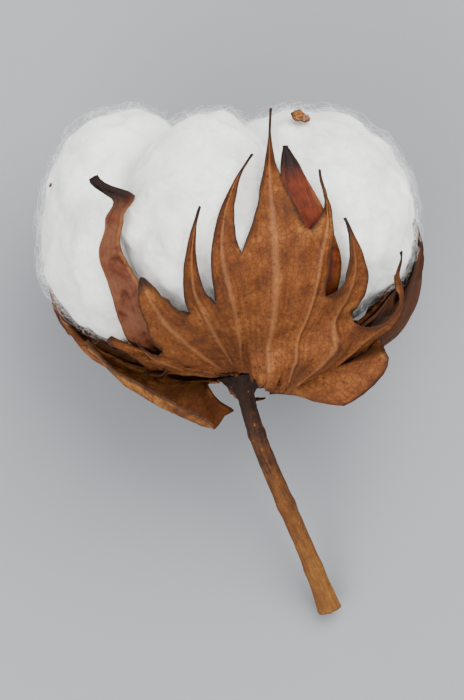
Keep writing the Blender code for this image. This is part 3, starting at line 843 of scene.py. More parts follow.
@dataclass
class Capsule:
    """The five woody valves, each a boat-shaped wall with thick curled rims and a bent point."""

    shop: Workshop
    under: Under
    material: bpy.types.Material
    bleached: bpy.types.Material
    columns: int = 14
    rows: int = 84
    wall: float = 0.00075
    foot: float = math.radians(-85.5)
    sector: float = math.radians(20.0)
    tip_half_width: float = 0.00028
    bend: float = 0.72  # how far up a valve its tip begins to bend out
    spring: float = 0.0006  # how far it stands off the lint halfway up
    keel: float = 0.0007
    rim: float = 0.0005
    wrinkle: float = 0.00022
    pit: float = 0.00012
    rounds: int = 6  # of smoothing
    flap_place: float = 0.925
    flap_length: float = 0.035

    def build(self) -> None:
        """Makes all the valves."""
        for piece in [self.make(valve) for valve in VALVES]:
            self.under.add_piece(piece)

    def make(self, valve: Valve) -> bpy.types.Object:
        """Makes one valve."""
        sheet = Sheet(sheet_grid(self.columns, self.rows))
        tip = math.radians(valve.tip)
        spots, lifts = {}, {}
        for vertex in sheet.mesh.verts:
            across, along = 2 * vertex.co.x / self.columns - 1, vertex.co.y / self.rows
            elevation = mix(self.foot, tip, along)
            distance = bowl(elevation)
            wobble = 1 + ripple(0.10, across * 0.6, along * 9, valve.number * 3.1)
            half = self.tip_half_width + valve.half_width * (1 - along**valve.fullness) ** 0.9 * wobble
            flap = valve.flap * bell((along - self.flap_place) / self.flap_length) * (across > 0)
            spread = min((half + flap) / (distance * math.cos(elevation)), self.sector)
            sway = math.radians(follow(valve.sways, along))
            ray = direction(math.radians(valve.azimuth) + across * spread + sway, elevation)
            curl = valve.curl * max(0.0, along - self.bend) ** 2 / (1 - self.bend) ** 2
            spots[vertex] = HEART + ray * distance
            lifts[vertex] = self.spring * hump(along * 1.15) + curl
            marks = (0.0, abs(across) ** 3, ease(0.80, 1.0, along))
            sheet.note(vertex, (across, along * 6), marks, self.relief(valve, across, along))
        sheet.drape(spots, lifts, self.under, self.rounds)
        sheet.emboss()
        name, finish = f"valve_{valve.number}", self.bleached if valve.bleached else self.material
        return self.shop.piece(f"capsule_{name}", sheet.mesh, [finish], Slot.CAPSULE, [name], self.wall)

    def relief(self, valve: Valve, across: float, along: float) -> float:
        """How far a spot on a valve stands out: a keel, curled rims, wrinkles, pits and a hooked point."""
        keel = self.keel * (1 - across**2) * hump(along * 1.1)
        rims = self.rim * abs(across) ** 4 * hump(along * 1.02)
        wrinkle = ripple(self.wrinkle, across * 3.5, along * 5, valve.number * 7.7)
        pits = ripple(self.pit, across * 5, along * 45, valve.number * 2.3)
        return keel + rims + wrinkle + pits + valve.hook * ease(0.90, 1.0, along)


@dataclass
class Calyx:
    """The small dried cup under the capsule, with a wavy torn rim of five shallow teeth."""

    shop: Workshop
    under: Under
    material: bpy.types.Material
    inner_radius: float = 0.0020
    radius: float = 0.0105
    wall: float = 0.0004
    rings: int = 18
    spokes: int = 120
    base: float = 0.0016
    dish: float = 18.0  # how steeply the cup rises, per metre
    teeth: int = 5
    turn: float = 0.6  # of the teeth, radians
    wave: float = 0.16
    rounds: int = 3
    clear: float = 0.0010

    def build(self) -> None:
        """Makes the cup."""
        mesh = bmesh.new()
        line = [mix(self.inner_radius, self.radius, step / self.rings) for step in range(self.rings + 1)]
        chain = [mesh.verts.new((reach, 0.0, self.base + self.dish * reach**2)) for reach in line]
        for one, two in zip(chain, chain[1:]):
            mesh.edges.new((one, two))
        line = mesh.verts[:] + mesh.edges[:]
        bmesh.ops.spin(
            mesh, geom=line, axis=UP, cent=(0, 0, 0), steps=self.spokes, angle=math.tau, use_merge=True
        )
        sheet = Sheet(mesh)
        spots, lifts = {}, {}
        for vertex in mesh.verts:
            azimuth = math.atan2(vertex.co.x, -vertex.co.y)
            share = (vertex.co.xy.length - self.inner_radius) / (self.radius - self.inner_radius)
            tooth = math.cos(self.teeth * azimuth + self.turn)
            wave = 1 + share**2 * (self.wave * tooth + ripple(0.05, azimuth * 4, share * 2, 5.0))
            spots[vertex] = Vector((vertex.co.x * wave, vertex.co.y * wave, vertex.co.z))
            lifts[vertex] = 0.0
            bulge = ripple(0.00018, azimuth * 6, share * 3, 1.0) * share
            sheet.note(vertex, (azimuth * 0.5, share), (max(0.0, tooth) ** 6, share**6, 0.0), bulge)
        sheet.drape(spots, lifts, self.under, self.rounds, self.clear)
        sheet.emboss()
        piece = self.shop.piece("calyx_cup", sheet.mesh, [self.material], Slot.BRACT, ["calyx"], self.wall)
        self.under.add_piece(piece)


# ---------------------------------------------------------------- the leafy bracts


@dataclass(frozen=True)
class Tooth:
    """One tooth of a bract, in degrees from straight up its blade and metres from its foot."""

    angle: float  # of its tip
    tip: float
    edge: float  # of the cut to its right
    notch: float  # where that cut ends
    lift: float = 0.001  # raises its tip off the boll
    taper: float = 1.1


@dataclass(frozen=True)
class Wing:
    """The rounded lobe beside a bract's foot."""

    angle: float
    reach: float
    flare: float  # takes its rim away from the stalk
    bend: float = 0.015  # the least radius at which it wraps round the boll
    rim: tuple = ()  # where its rim runs instead, in metres in the boll's own frame
    bulge: tuple = ()  # how far it swells between foot and rim, as (share, metres)
    swell: tuple[float, float, float] = (0.0, -1.0, 0.0)  # the way in which it swells


@dataclass(frozen=True)
class Bract:
    """One leafy bract. Its first cut is at (angle, distance), to the left of its first tooth."""

    name: str
    azimuth: float
    first_cut: tuple[float, float]
    teeth: tuple[Tooth, ...]
    wings: tuple[Wing, Wing]
    belly: float  # how far the blade stands off halfway up
    seed: int

    def cut_before(self, number: int) -> tuple[float, float]:
        """The (angle, distance) of the cut to the left of a tooth, or to the right of the last one."""
        return (self.teeth[number - 1].edge, self.teeth[number - 1].notch) if number else self.first_cut


BRACTS = (
    Bract(
        "bract_right",
        106.0,
        (-63.0, 0.026),
        (
            Tooth(-56.0, 0.030, -50.5, 0.026),
            Tooth(-42.0, 0.037, -37.5, 0.028, 0.0),
            Tooth(-30.0, 0.041, -24.0, 0.031, 0.0),
            Tooth(-15.0, 0.046, -10.0, 0.033),
            Tooth(0.0, 0.052, 3.5, 0.034, 0.002),
            Tooth(8.0, 0.047, 16.0, 0.031, 0.002),
            Tooth(24.0, 0.041, 27.5, 0.028),
            Tooth(36.0, 0.034, 39.0, 0.025, 0.0015),
        ),
        (Wing(-98.0, 0.023, 0.009), Wing(80.0, 0.018, 0.004)),
        0.0045,
        11,
    ),
    Bract(
        "bract_front",
        14.0,
        (-72.0, 0.0190),
        (
            Tooth(-62.0, 0.0270, -60.0, 0.0215),
            Tooth(-50.0, 0.0320, -50.0, 0.0255),
            Tooth(-37.0, 0.0410, -33.0, 0.0280, 0.001, 0.5),
            Tooth(-16.0, 0.0450, -22.5, 0.0275, 0.001, 1.1),
            Tooth(-2.0, 0.0520, -10.0, 0.0350, 0.001, 1.35),
            Tooth(3.5, 0.0615, 10.0, 0.0380, 0.001, 2.1),
            Tooth(12.0, 0.0490, 19.5, 0.0270, 0.001, 1.9),
            Tooth(16.0, 0.0405, 39.0, 0.0250, 0.003, 0.8),
            Tooth(33.0, 0.0400, 53.0, 0.0265, 0.002, 1.5),
        ),
        (
            Wing(
                -92.0,
                0.0195,
                0.003,
                0.015,
                (
                    (-0.0209, -0.0180, 0.0101),
                    (-0.0247, -0.0160, 0.0082),
                    (-0.0195, -0.0150, 0.0051),
                    (-0.0117, -0.0120, 0.0029),
                    (-0.0038, -0.0080, 0.0016),
                ),
                ((0.0, 0.003), (0.5, 0.003), (1.0, 0.001)),
            ),
            Wing(
                118.0,
                0.0215,
                0.004,
                0.028,
                (
                    (0.0252, -0.0120, 0.0039),
                    (0.0272, -0.0115, 0.0002),
                    (0.0261, -0.0110, -0.0030),
                    (0.0192, -0.0105, -0.0076),
                    (0.0152, -0.0100, -0.0077),
                    (0.0098, -0.0090, -0.0049),
                    (0.0042, -0.0070, -0.0023),
                ),
                ((0.0, 0.005), (0.5, 0.005), (1.0, 0.002)),
                (0.0, -1.0, -0.2),
            ),
        ),
        0.0008,
        23,
    ),
    Bract(
        "bract_left",
        -114.0,
        (-40.0, 0.023),
        (
            Tooth(-36.0, 0.030, -28.5, 0.023),
            Tooth(-26.0, 0.037, -17.5, 0.026, 0.002),
            Tooth(-8.0, 0.041, -6.0, 0.028),
            Tooth(2.0, 0.041, 6.0, 0.029, 0.001),
            Tooth(9.0, 0.037, 17.5, 0.027, 0.0),
            Tooth(24.0, 0.033, 28.0, 0.025, 0.0),
            Tooth(36.0, 0.028, 39.0, 0.022, 0.0),
        ),
        (
            Wing(-80.0, 0.018, 0.003),
            Wing(
                126.0,
                0.027,
                0.007,
                0.028,
                (
                    (-0.0332, -0.0020, 0.0210),
                    (-0.0301, -0.0050, 0.0133),
                    (-0.0265, -0.0080, 0.0089),
                    (-0.0213, -0.0100, 0.0032),
                    (-0.0159, -0.0110, 0.0005),
                    (-0.0105, -0.0110, -0.0040),
                    (-0.0066, -0.0100, -0.0079),
                    (-0.0063, -0.0090, -0.0106),
                    (-0.0043, -0.0075, -0.0062),
                    (-0.0021, -0.0050, -0.0027),
                ),
                ((0.0, 0.003), (0.3, 0.009), (0.6, 0.008), (0.8, 0.002), (1.0, 0.0)),
                (-0.55, 0.35, -0.75),
            ),
        ),
        0.0015,
        37,
    ),
)


def on_plan(angle: float, distance: float) -> complex:
    """The flat leaf's point at an angle in degrees from straight up and a distance from its foot."""
    return cmath.rect(distance, math.pi / 2 - math.radians(angle))


@dataclass
class Foliage:
    """The three bracts: broad blades cut into long teeth, with ribs, wrinkles and curled points."""

    shop: Workshop
    under: Under
    materials: dict[str, bpy.types.Material]
    wall: float = 0.00030
    tooth_columns: int = 10
    wing_columns: int = 20
    blade_rows: int = 34
    tooth_rows: int = 34
    lift: float = 0.0012
    belly_reach: float = 0.042
    foot_drop: float = 0.0025
    foot_spread: float = 0.00003  # for each degree of the blade
    least_width: float = 0.0004
    rounds: int = 16
    hang_out: float = 0.15  # below its foot a bract leaves the stalk by this much of its length
    hang_down: float = 0.9
    elevations: range = range(-77, 75, 2)  # in degrees, where a bract's middle line is found
    wing_rise: float = 1.6  # how fast a wing comes to its full length
    wing_ease: float = 0.3  # over this share of a wing its length leaves that of the cut beside it
    rim_ease: float = 0.22  # over this share of a wing it comes over to its rim's own route
    arch: float = 0.55
    rib: float = 0.00028
    pucker: float = 0.00035
    channel: float = 0.0011
    twist: float = 0.0016
    point: float = 0.0012  # how far a tooth's point curls up
    line: list = field(default_factory=list)

    def build(self) -> None:
        """Makes the bracts in the order in which they lie on each other."""
        self.line = self.meridian()
        for bract in BRACTS:
            self.under.add_piece(self.make(bract))

    def meridian(self) -> list[tuple[float, float, float]]:
        """The line that a bract's middle follows, as (arc length, radius, height) at each step up."""
        line, travelled, last = [], 0.0, None
        for degrees in self.elevations:
            elevation = math.radians(degrees)
            distance = bowl(elevation) + self.lift
            here = Vector((distance * math.cos(elevation), HEART.z + distance * math.sin(elevation)))
            travelled += (here - last).length if last else 0.0
            line.append((travelled, here.x, here.y))
            last = here
        return line

    def on_meridian(self, arc: float) -> tuple[float, float]:
        """Radius and height at an arc length; below 0 the line hangs down beside the stalk."""
        if arc <= 0:
            return self.line[0][1] - self.hang_out * arc, self.line[0][2] + self.hang_down * arc
        number = min(bisect.bisect(self.line, (arc,)), len(self.line) - 1)
        low, high = self.line[number - 1], self.line[number]
        share = (arc - low[0]) / (high[0] - low[0])
        return mix(low[1], high[1], share), mix(low[2], high[2], share)

    def cut_teeth(self, mesh: bmesh.types.BMesh, columns: int) -> None:
        """Splits the flat grid between its teeth, above the notches."""
        first, last = self.wing_columns, columns - self.wing_columns
        cuts = [
            edge
            for edge in mesh.edges
            if edge.verts[0].co.x == edge.verts[1].co.x
            and first <= edge.verts[0].co.x <= last
            and (edge.verts[0].co.x - first) % self.tooth_columns == 0
            and min(vertex.co.y for vertex in edge.verts) >= self.blade_rows
        ]
        bmesh.ops.split_edges(mesh, edges=cuts)

    def foot_at(self, angle: float) -> complex:
        """The flat leaf's point where the ribs at an angle leave the stalk."""
        return complex(self.foot_spread * angle, -self.foot_drop)

    def on_wing(self, bract: Bract, share: float, up: float, side: int) -> tuple[complex, float]:
        """Where a spot on a wing is.

        Args:
            bract: The bract.
            share: How far along the wing, from 0 at the last cut to 1 at the wing's end.
            up: 0 at the foot, 2 at the rim.
            side: 0 for the left wing and 1 for the right one.

        Returns:
            The spot on the flat leaf, and how far the flare takes it away from the stalk.
        """
        wing = bract.wings[side]
        edge, near = bract.cut_before(side * len(bract.teeth))
        reach = mix(near, wing.reach, math.sin(min(share * self.wing_rise, 1.0) * math.pi / 2))
        ragged = 1 + ripple(0.09 * share, share * 9, bract.seed, side)
        angle = mix(edge, wing.angle, share)
        beside = near * min(up, 1.0) * (1 + 0.04 * max(up - 1, 0.0))
        away = mix(beside, reach * ragged * up / 2, ease(0.0, self.wing_ease, share))
        return on_plan(angle, away) + self.foot_at(angle) * (1 - up / 2), wing.flare * share * up / 2

    def on_tooth(self, bract: Bract, number: int, across: float, up: float) -> complex:
        """Where a spot on the blade or on a tooth is.

        Args:
            bract: The bract.
            number: The tooth, from the left.
            across: From 0 to 1 over the tooth.
            up: 0 at the foot, 1 at the notches, 2 at the tips.

        Returns:
            The spot on the flat leaf.
        """
        tooth = bract.teeth[number]
        left, low = bract.cut_before(number)

        def root(share: float) -> complex:
            return on_plan(mix(left, tooth.edge, share), mix(low, tooth.notch, share))

        if up <= 1:
            foot = self.foot_at(mix(left, tooth.edge, across))
            return foot + (root(across) - foot) * up
        along = up - 1
        base, tip = root(0.5), on_plan(tooth.angle, tooth.tip)
        first = base / abs(base)
        bent = base + first * abs(tip - base) * 0.5
        middle = (1 - along) ** 2 * base + 2 * along * (1 - along) * bent + along**2 * tip
        tangent = (1 - along) * (bent - base) + along * (tip - bent)
        turn = tangent / abs(tangent) / first
        side = bract.seed + (across > 0.5)
        ragged = 1 + ripple(0.14 * min(along * 6, 1.0), along * 7, number * 3.7, side)
        width = max((1 - along) ** tooth.taper, self.least_width / abs(root(1.0) - root(0.0)))
        return middle + (root(across) - base) * width * turn * ragged

    def stand(self, bract: Bract, place: complex, flare: float) -> Vector:
        """The place in space of a spot on the flat leaf, before it is draped."""
        out, height = self.on_meridian(place.imag)
        curve = max(out, bract.wings[place.real > 0].bend)
        level = out - curve + curve * math.cos(place.real / curve) + flare
        spot = Vector((curve * math.sin(place.real / curve), -level, height))
        return Matrix.Rotation(math.radians(bract.azimuth), 3, "Z") @ spot

    def guide(self, bract: Bract, side: int, share: float, up: float) -> Vector:
        """Where a spot belongs on a wing whose rim has a route of its own: on an arch from foot to rim."""
        wing = bract.wings[side]
        edge = bract.cut_before(side * len(bract.teeth))[0]
        foot = self.stand(bract, self.foot_at(mix(edge, wing.angle, share)), 0.0)
        along = share * (len(wing.rim) - 1)
        number = min(int(along), len(wing.rim) - 2)
        steps = (max(number - 1, 0), number, number + 1, min(number + 2, len(wing.rim) - 1))
        before, start, end, after = (Vector(wing.rim[step]) for step in steps)
        handles = start, start + (end - before) / 6, end - (after - start) / 6, end
        rim = bezier(handles, along - number)
        rim += (rim - foot).normalized() * ripple(0.0011, share * 11, bract.seed, side)
        middle = foot.lerp(rim, self.arch) + Vector(wing.swell) * follow(wing.bulge, share)
        arch = up / 2
        return foot * (1 - arch) ** 2 + middle * (2 * arch * (1 - arch)) + rim * arch**2

    def make(self, bract: Bract) -> bpy.types.Object:
        """Makes one bract."""
        columns = self.tooth_columns * len(bract.teeth) + 2 * self.wing_columns
        mesh = sheet_grid(columns, self.blade_rows + self.tooth_rows)
        self.cut_teeth(mesh, columns)
        sheet = Sheet(mesh)
        draws = random.Random(bract.seed)
        twists = [draws.uniform(-0.9, 0.9) for _ in bract.teeth]
        curls = [draws.uniform(0.2, 1.0) for _ in bract.teeth]
        first, last = self.wing_columns, columns - self.wing_columns
        spots, lifts = {}, {}
        for vertex in mesh.verts:
            column, row = vertex.co.x, vertex.co.y
            middle = sum(face.calc_center_median().x for face in vertex.link_faces) / len(vertex.link_faces)
            above = max(row - self.blade_rows, 0.0)
            up = min(row / self.blade_rows, 1.0) + above / self.tooth_rows
            guide, pull = None, 0.0
            if middle < first or middle > last:
                side = int(middle > last)
                share = (column - last if side else first - column) / self.wing_columns
                place, flare = self.on_wing(bract, share, up, side)
                if bract.wings[side].rim:
                    guide, pull = self.guide(bract, side, share, up), ease(0.0, self.rim_ease, share)
                rise = bulge = 0.0
                marks = self.wing_marks(share, up)
            else:
                number = min(int((middle - first) / self.tooth_columns), len(bract.teeth) - 1)
                across = (column - first) / self.tooth_columns - number
                place, flare = self.on_tooth(bract, number, across, up), 0.0
                along = max(up - 1, 0.0)
                rise = bract.teeth[number].lift * along**2 + self.point * curls[number] * along**5
                marks = self.tooth_marks(across, up)
                bulge = self.tooth_relief(across, up, twists[number])
            lifts[vertex] = rise + bract.belly * hump(abs(place) / self.belly_reach)
            spot = self.stand(bract, place, flare)
            spots[vertex] = spot.lerp(guide, pull) if guide else spot
            flat = (cmath.phase(place), abs(place) / 0.03)
            sheet.note(vertex, flat, marks, bulge + self.wrinkles(bract, place))
        sheet.drape(spots, lifts, self.under, self.rounds)
        sheet.emboss()
        finish = [self.materials[bract.name]]
        return self.shop.piece(f"leafy_{bract.name}", mesh, finish, Slot.BRACT, [bract.name], self.wall)

    def wing_marks(self, share: float, up: float) -> tuple[float, float, float]:
        """How much of a spot on a wing is rib, rim and tip."""
        rim = max(ease(0.88, 1.0, share), ease(1.75, 2.0, up))
        return 0.6 * max(0.0, math.cos(share * 9)) ** 12, rim, ease(0.9, 1.0, share) * ease(1.5, 2.0, up)

    def tooth_marks(self, across: float, up: float) -> tuple[float, float, float]:
        """How much of a spot on a tooth is rib, rim and tip."""
        off = abs(2 * across - 1)
        rib = bell(off / 0.16) * ease(0.05, 0.4, up)
        return rib, off**3 * ease(0.96, 1.05, up), ease(1.62, 2.0, up)

    def tooth_relief(self, across: float, up: float, twist: float) -> float:
        """How far a spot on a tooth stands out: a rib, puckers beside it, a channelled and twisted point."""
        off = 2 * across - 1
        along = max(up - 1, 0.0)
        rib = self.rib * bell(off / 0.17) * ease(0.0, 0.5, up) * (1 - 0.6 * along)
        pucker = self.pucker * (1 - math.cos(2 * math.pi * off)) / 2 * ease(0.15, 0.8, up) * (1 - along)
        channel = self.channel * off * off * ease(0.0, 0.25, along) * (1 - along) ** 0.6
        turned = self.twist * twist * off * along * (1 - along) ** 0.5
        return rib - pucker + channel + turned

    def wrinkles(self, bract: Bract, place: complex) -> float:
        """How far the crinkled blade stands out."""
        leaf = Vector((place.real, place.imag, bract.seed * 0.01))
        fans = ripple(0.00022, cmath.phase(place) * 14, abs(place) * 60, bract.seed)
        return ripple(0.00028, *leaf * 150) + ripple(0.00012, *leaf * 480) + fans


# ---------------------------------------------------------------- the lint


LOCK_BOUNDS = (-112.0, -42.0, 27.0, 94.0, 138.0, 248.0)  # the azimuths between which the locks lie
LOCK_SIZES = (  # (outwards, up, down)
    (0.98, 1.00, 0.88),
    (0.96, 0.82, 0.97),
    (1.09, 0.82, 0.95),
    (0.98, 0.82, 0.97),
    (0.98, 0.80, 1.0),
)
LOCK_ROUNDS = (7, 7, 7, 6, 6)  # of splitting each face of the first ball in four
FUZZ_LAYERS = (2, 2, 2, 1, 1)


@dataclass
class Lint:
    """The five fluffy locks of lint, and the loose fibres on them."""

    shop: Workshop
    cover: Under
    mass: bpy.types.Material
    fibre: bpy.types.Material
    radius: float = 0.0352
    centre_radius: float = 0.0172
    tall_up: float = 0.0255
    tall_down: float = 0.0192
    across: float = 0.0178
    roundness: float = 9.0
    lumps: float = 0.035
    puffs: tuple = ((0.0125, 0.0013), (0.0060, 0.00065), (0.0027, 0.00022), (0.0012, 0.00008))
    sink: float = 0.00030
    soft_crease: float = 0.10
    press: float = 0.00025  # the lint keeps this far under the leaf that covers it
    least_facing: float = 0.02  # a lock meets its neighbour only along rays that face it

    def build(self) -> None:
        """Makes the locks and then their fibres."""
        for index in range(len(LOCK_SIZES)):
            mesh = self.make_lock(index)
            tree = BVHTree.FromBMesh(mesh)
            spots = [(vertex.co.copy(), vertex.normal.copy()) for vertex in mesh.verts]
            self.shop.piece(f"lint_lock_{index + 1}", mesh, [self.mass], Slot.LINT, [f"lock_{index + 1}"])
            for layer in range(FUZZ_LAYERS[index]):
                Fuzz(self.shop, self.cover, self.fibre, index, layer, spots, tree).build()

    def reach(self, ray: Vector, centre: Vector, index: int) -> float:
        """How far a lock reaches from its centre along a ray: to its own bulge, or to its neighbours."""
        first, last = LOCK_BOUNDS[index], LOCK_BOUNDS[index + 1]
        outwards, up, down = LOCK_SIZES[index]
        azimuth = math.radians((first + last) / 2)
        out, side = direction(azimuth, 0.0), Vector((math.cos(azimuth), math.sin(azimuth), 0.0))
        tall = self.tall_up * up if ray.z > 0 else self.tall_down * down
        depth = self.radius * outwards - self.centre_radius
        scaled = Vector((ray.dot(out) / depth, ray.dot(side) / self.across, ray.z / tall))
        lumps = noise.noise(ray * 1.9 + centre * 300) + 0.5 * noise.noise(ray * 4.3 - centre * 200)
        limits = [(1 + self.lumps * lumps) / scaled.length]
        for azimuth, sign in ((first, -1), (last, 1)):
            angle = math.radians(azimuth)
            normal = Vector((math.cos(angle), math.sin(angle), 0.0)) * sign
            facing = ray.dot(normal)
            if facing > self.least_facing:
                limits.append((-centre.dot(normal) - GAP / 2) / facing)
        return sum(limit**-self.roundness for limit in limits) ** (-1 / self.roundness)

    def puff(self, spot: Vector) -> float:
        """How far the fluffy surface swells or sinks at a spot."""
        height = -self.sink
        for size, swell in self.puffs:
            warped = spot / size + noise.noise_vector(spot / (size * 1.7)) * 0.45
            height += swell * (math.hypot(noise.noise(warped), self.soft_crease) * 2.2 - 0.60)
        return height

    def make_lock(self, index: int) -> bmesh.types.BMesh:
        """Makes one lock of lint, held in by the leaves over it and flat where it lies."""
        azimuth = math.radians((LOCK_BOUNDS[index] + LOCK_BOUNDS[index + 1]) / 2)
        centre = HEART + direction(azimuth, 0.0) * self.centre_radius
        mesh = bmesh.new()
        bmesh.ops.create_icosphere(mesh, subdivisions=LOCK_ROUNDS[index], radius=1.0)
        put_in_order(mesh.verts, lambda vertex: vertex.co)
        put_in_order(mesh.faces, lambda face: face.calc_center_median())
        for vertex in mesh.verts:
            ray = vertex.co.normalized()
            spot = centre + ray * self.reach(ray, centre, index)
            spot += ray * self.puff(spot)
            vertex.co = self.shop.lie.settle(self.cover.held(spot, self.press))
        mesh.normal_update()
        return mesh


@dataclass
class Fuzz:
    """The loose fibres of one lock: most hug the lint in swirls, and some stand off it in a soft halo."""

    shop: Workshop
    cover: Under
    material: bpy.types.Material
    index: int
    layer: int
    spots: list
    tree: BVHTree
    count: int = 7000
    steps: int = 4
    hair_radius: float = 0.000011
    hair_lift: float = 0.00003
    shortest: float = 0.004
    longest: float = 0.009
    loose: float = 0.26  # the share of the fibres that stand off
    stand: float = 0.0022
    hug: float = 0.00022  # how far the others lie over the lint, at most
    root: float = 0.0002  # each fibre starts this far inside the lint
    gap: float = 0.00008  # to the leaf over a fibre, and to the table under it
    margin: float = 0.0019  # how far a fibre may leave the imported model's box
    least_facing: float = 0.15  # towards the outside, where a fibre comes out
    least_reach: float = 0.019  # from the heart
    swirling: float = 1.6  # how much neighbouring fibres run the same way
    straying: float = 0.45
    bend: float = 0.55  # the most that a fibre turns at each step, radians
    kink: float = 0.35

    def build(self) -> None:
        """Makes the fibres as one mesh."""
        first = (self.index * len(FUZZ_LAYERS) + self.layer) * self.count
        curve = bpy.data.curves.new("fibre_lines", "CURVE")
        curve.dimensions = "3D"
        curve.bevel_mode = "OBJECT"
        curve.bevel_object = self.profile()
        curve.use_fill_caps = True
        taper = [1 - 0.65 * (step / self.steps) ** 2 for step in range(self.steps + 1)]
        matrix = self.shop.lie.matrix
        for fibre in range(self.count):
            draws = random.Random(first + fibre)
            spot, normal = draws.choice(self.spots)
            while not self.is_outside(spot, normal):
                spot, normal = draws.choice(self.spots)
            places = [self.boxed(matrix @ place) for place in self.strand(spot, normal, draws)]
            thick = self.hair_radius * draws.uniform(0.7, 1.25)
            add_line(curve, places, [thick * share for share in taper])
        data = drawn_mesh(curve)
        bpy.data.objects.remove(curve.bevel_object)
        data.name = f"lint_fuzz_{self.index + 1}_{self.layer + 1}"
        self.shop.piece(data.name, data, [self.material], Slot.LINT)

    def is_outside(self, spot: Vector, normal: Vector) -> bool:
        """Whether a spot is on the outside of the boll, and not between two locks."""
        offset = spot - HEART
        return normal.dot(offset.normalized()) > self.least_facing and offset.length > self.least_reach

    def profile(self) -> bpy.types.Object:
        """The three-sided section of a fibre."""
        curve = bpy.data.curves.new("fibre_section", "CURVE")
        angles = [number * math.tau / 3 for number in range(3)]
        add_line(curve, [(math.cos(angle), math.sin(angle), 0.0) for angle in angles], [1.0] * 3)
        curve.splines[0].use_cyclic_u = True
        return put("fibre_section", curve)

    def strand(self, spot: Vector, normal: Vector, draws: random.Random) -> list[Vector]:
        """The points of one fibre.

        Args:
            spot: Where it comes out of the lint.
            normal: The way out of the lint there.
            draws: The source of its random numbers.

        Returns:
            The points, which mostly follow the surface.
        """
        swirl = noise.noise_vector(spot * 130) + 0.5 * noise.noise_vector(spot * 420)
        wild = Vector([draws.gauss(0, 1) for _ in range(3)])
        heading = (swirl * self.swirling + wild * self.straying).normalized()
        length = draws.uniform(self.shortest, self.longest)
        free = draws.random() < self.loose
        top = self.stand * draws.random() ** 1.6 if free else self.hug * draws.random()
        turn = Matrix.Rotation(draws.uniform(-self.bend, self.bend), 3, normal)
        place, points = spot, []
        for step in range(self.steps + 1):
            share = step / self.steps
            found, facing = self.tree.find_nearest(place)[:2] if step else (spot, normal)
            arch = math.sin(math.pi * (0.15 + 0.75 * share)) if free else 1.0
            off = top * arch + self.hair_lift if step else -self.root
            points.append(self.shop.lie.settle(self.cover.held(found + facing * off, self.gap), self.gap))
            heading = turn @ (heading - facing * heading.dot(facing) * 0.9)
            kink = noise.noise_vector(place * 900) * self.kink
            heading = (heading.normalized() + kink).normalized()
            place = found + heading * (length / self.steps)
        return points

    def boxed(self, spot: Vector) -> Vector:
        """Keeps a laid-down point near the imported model's box."""
        lowest, highest = ([value + sign * self.margin for value in CAD_BOX[sign > 0]] for sign in (-1, 1))
        return Vector([min(max(value, low), high) for value, low, high in zip(spot, lowest, highest)])


# ---------------------------------------------------------------- the stalk and the crumbs


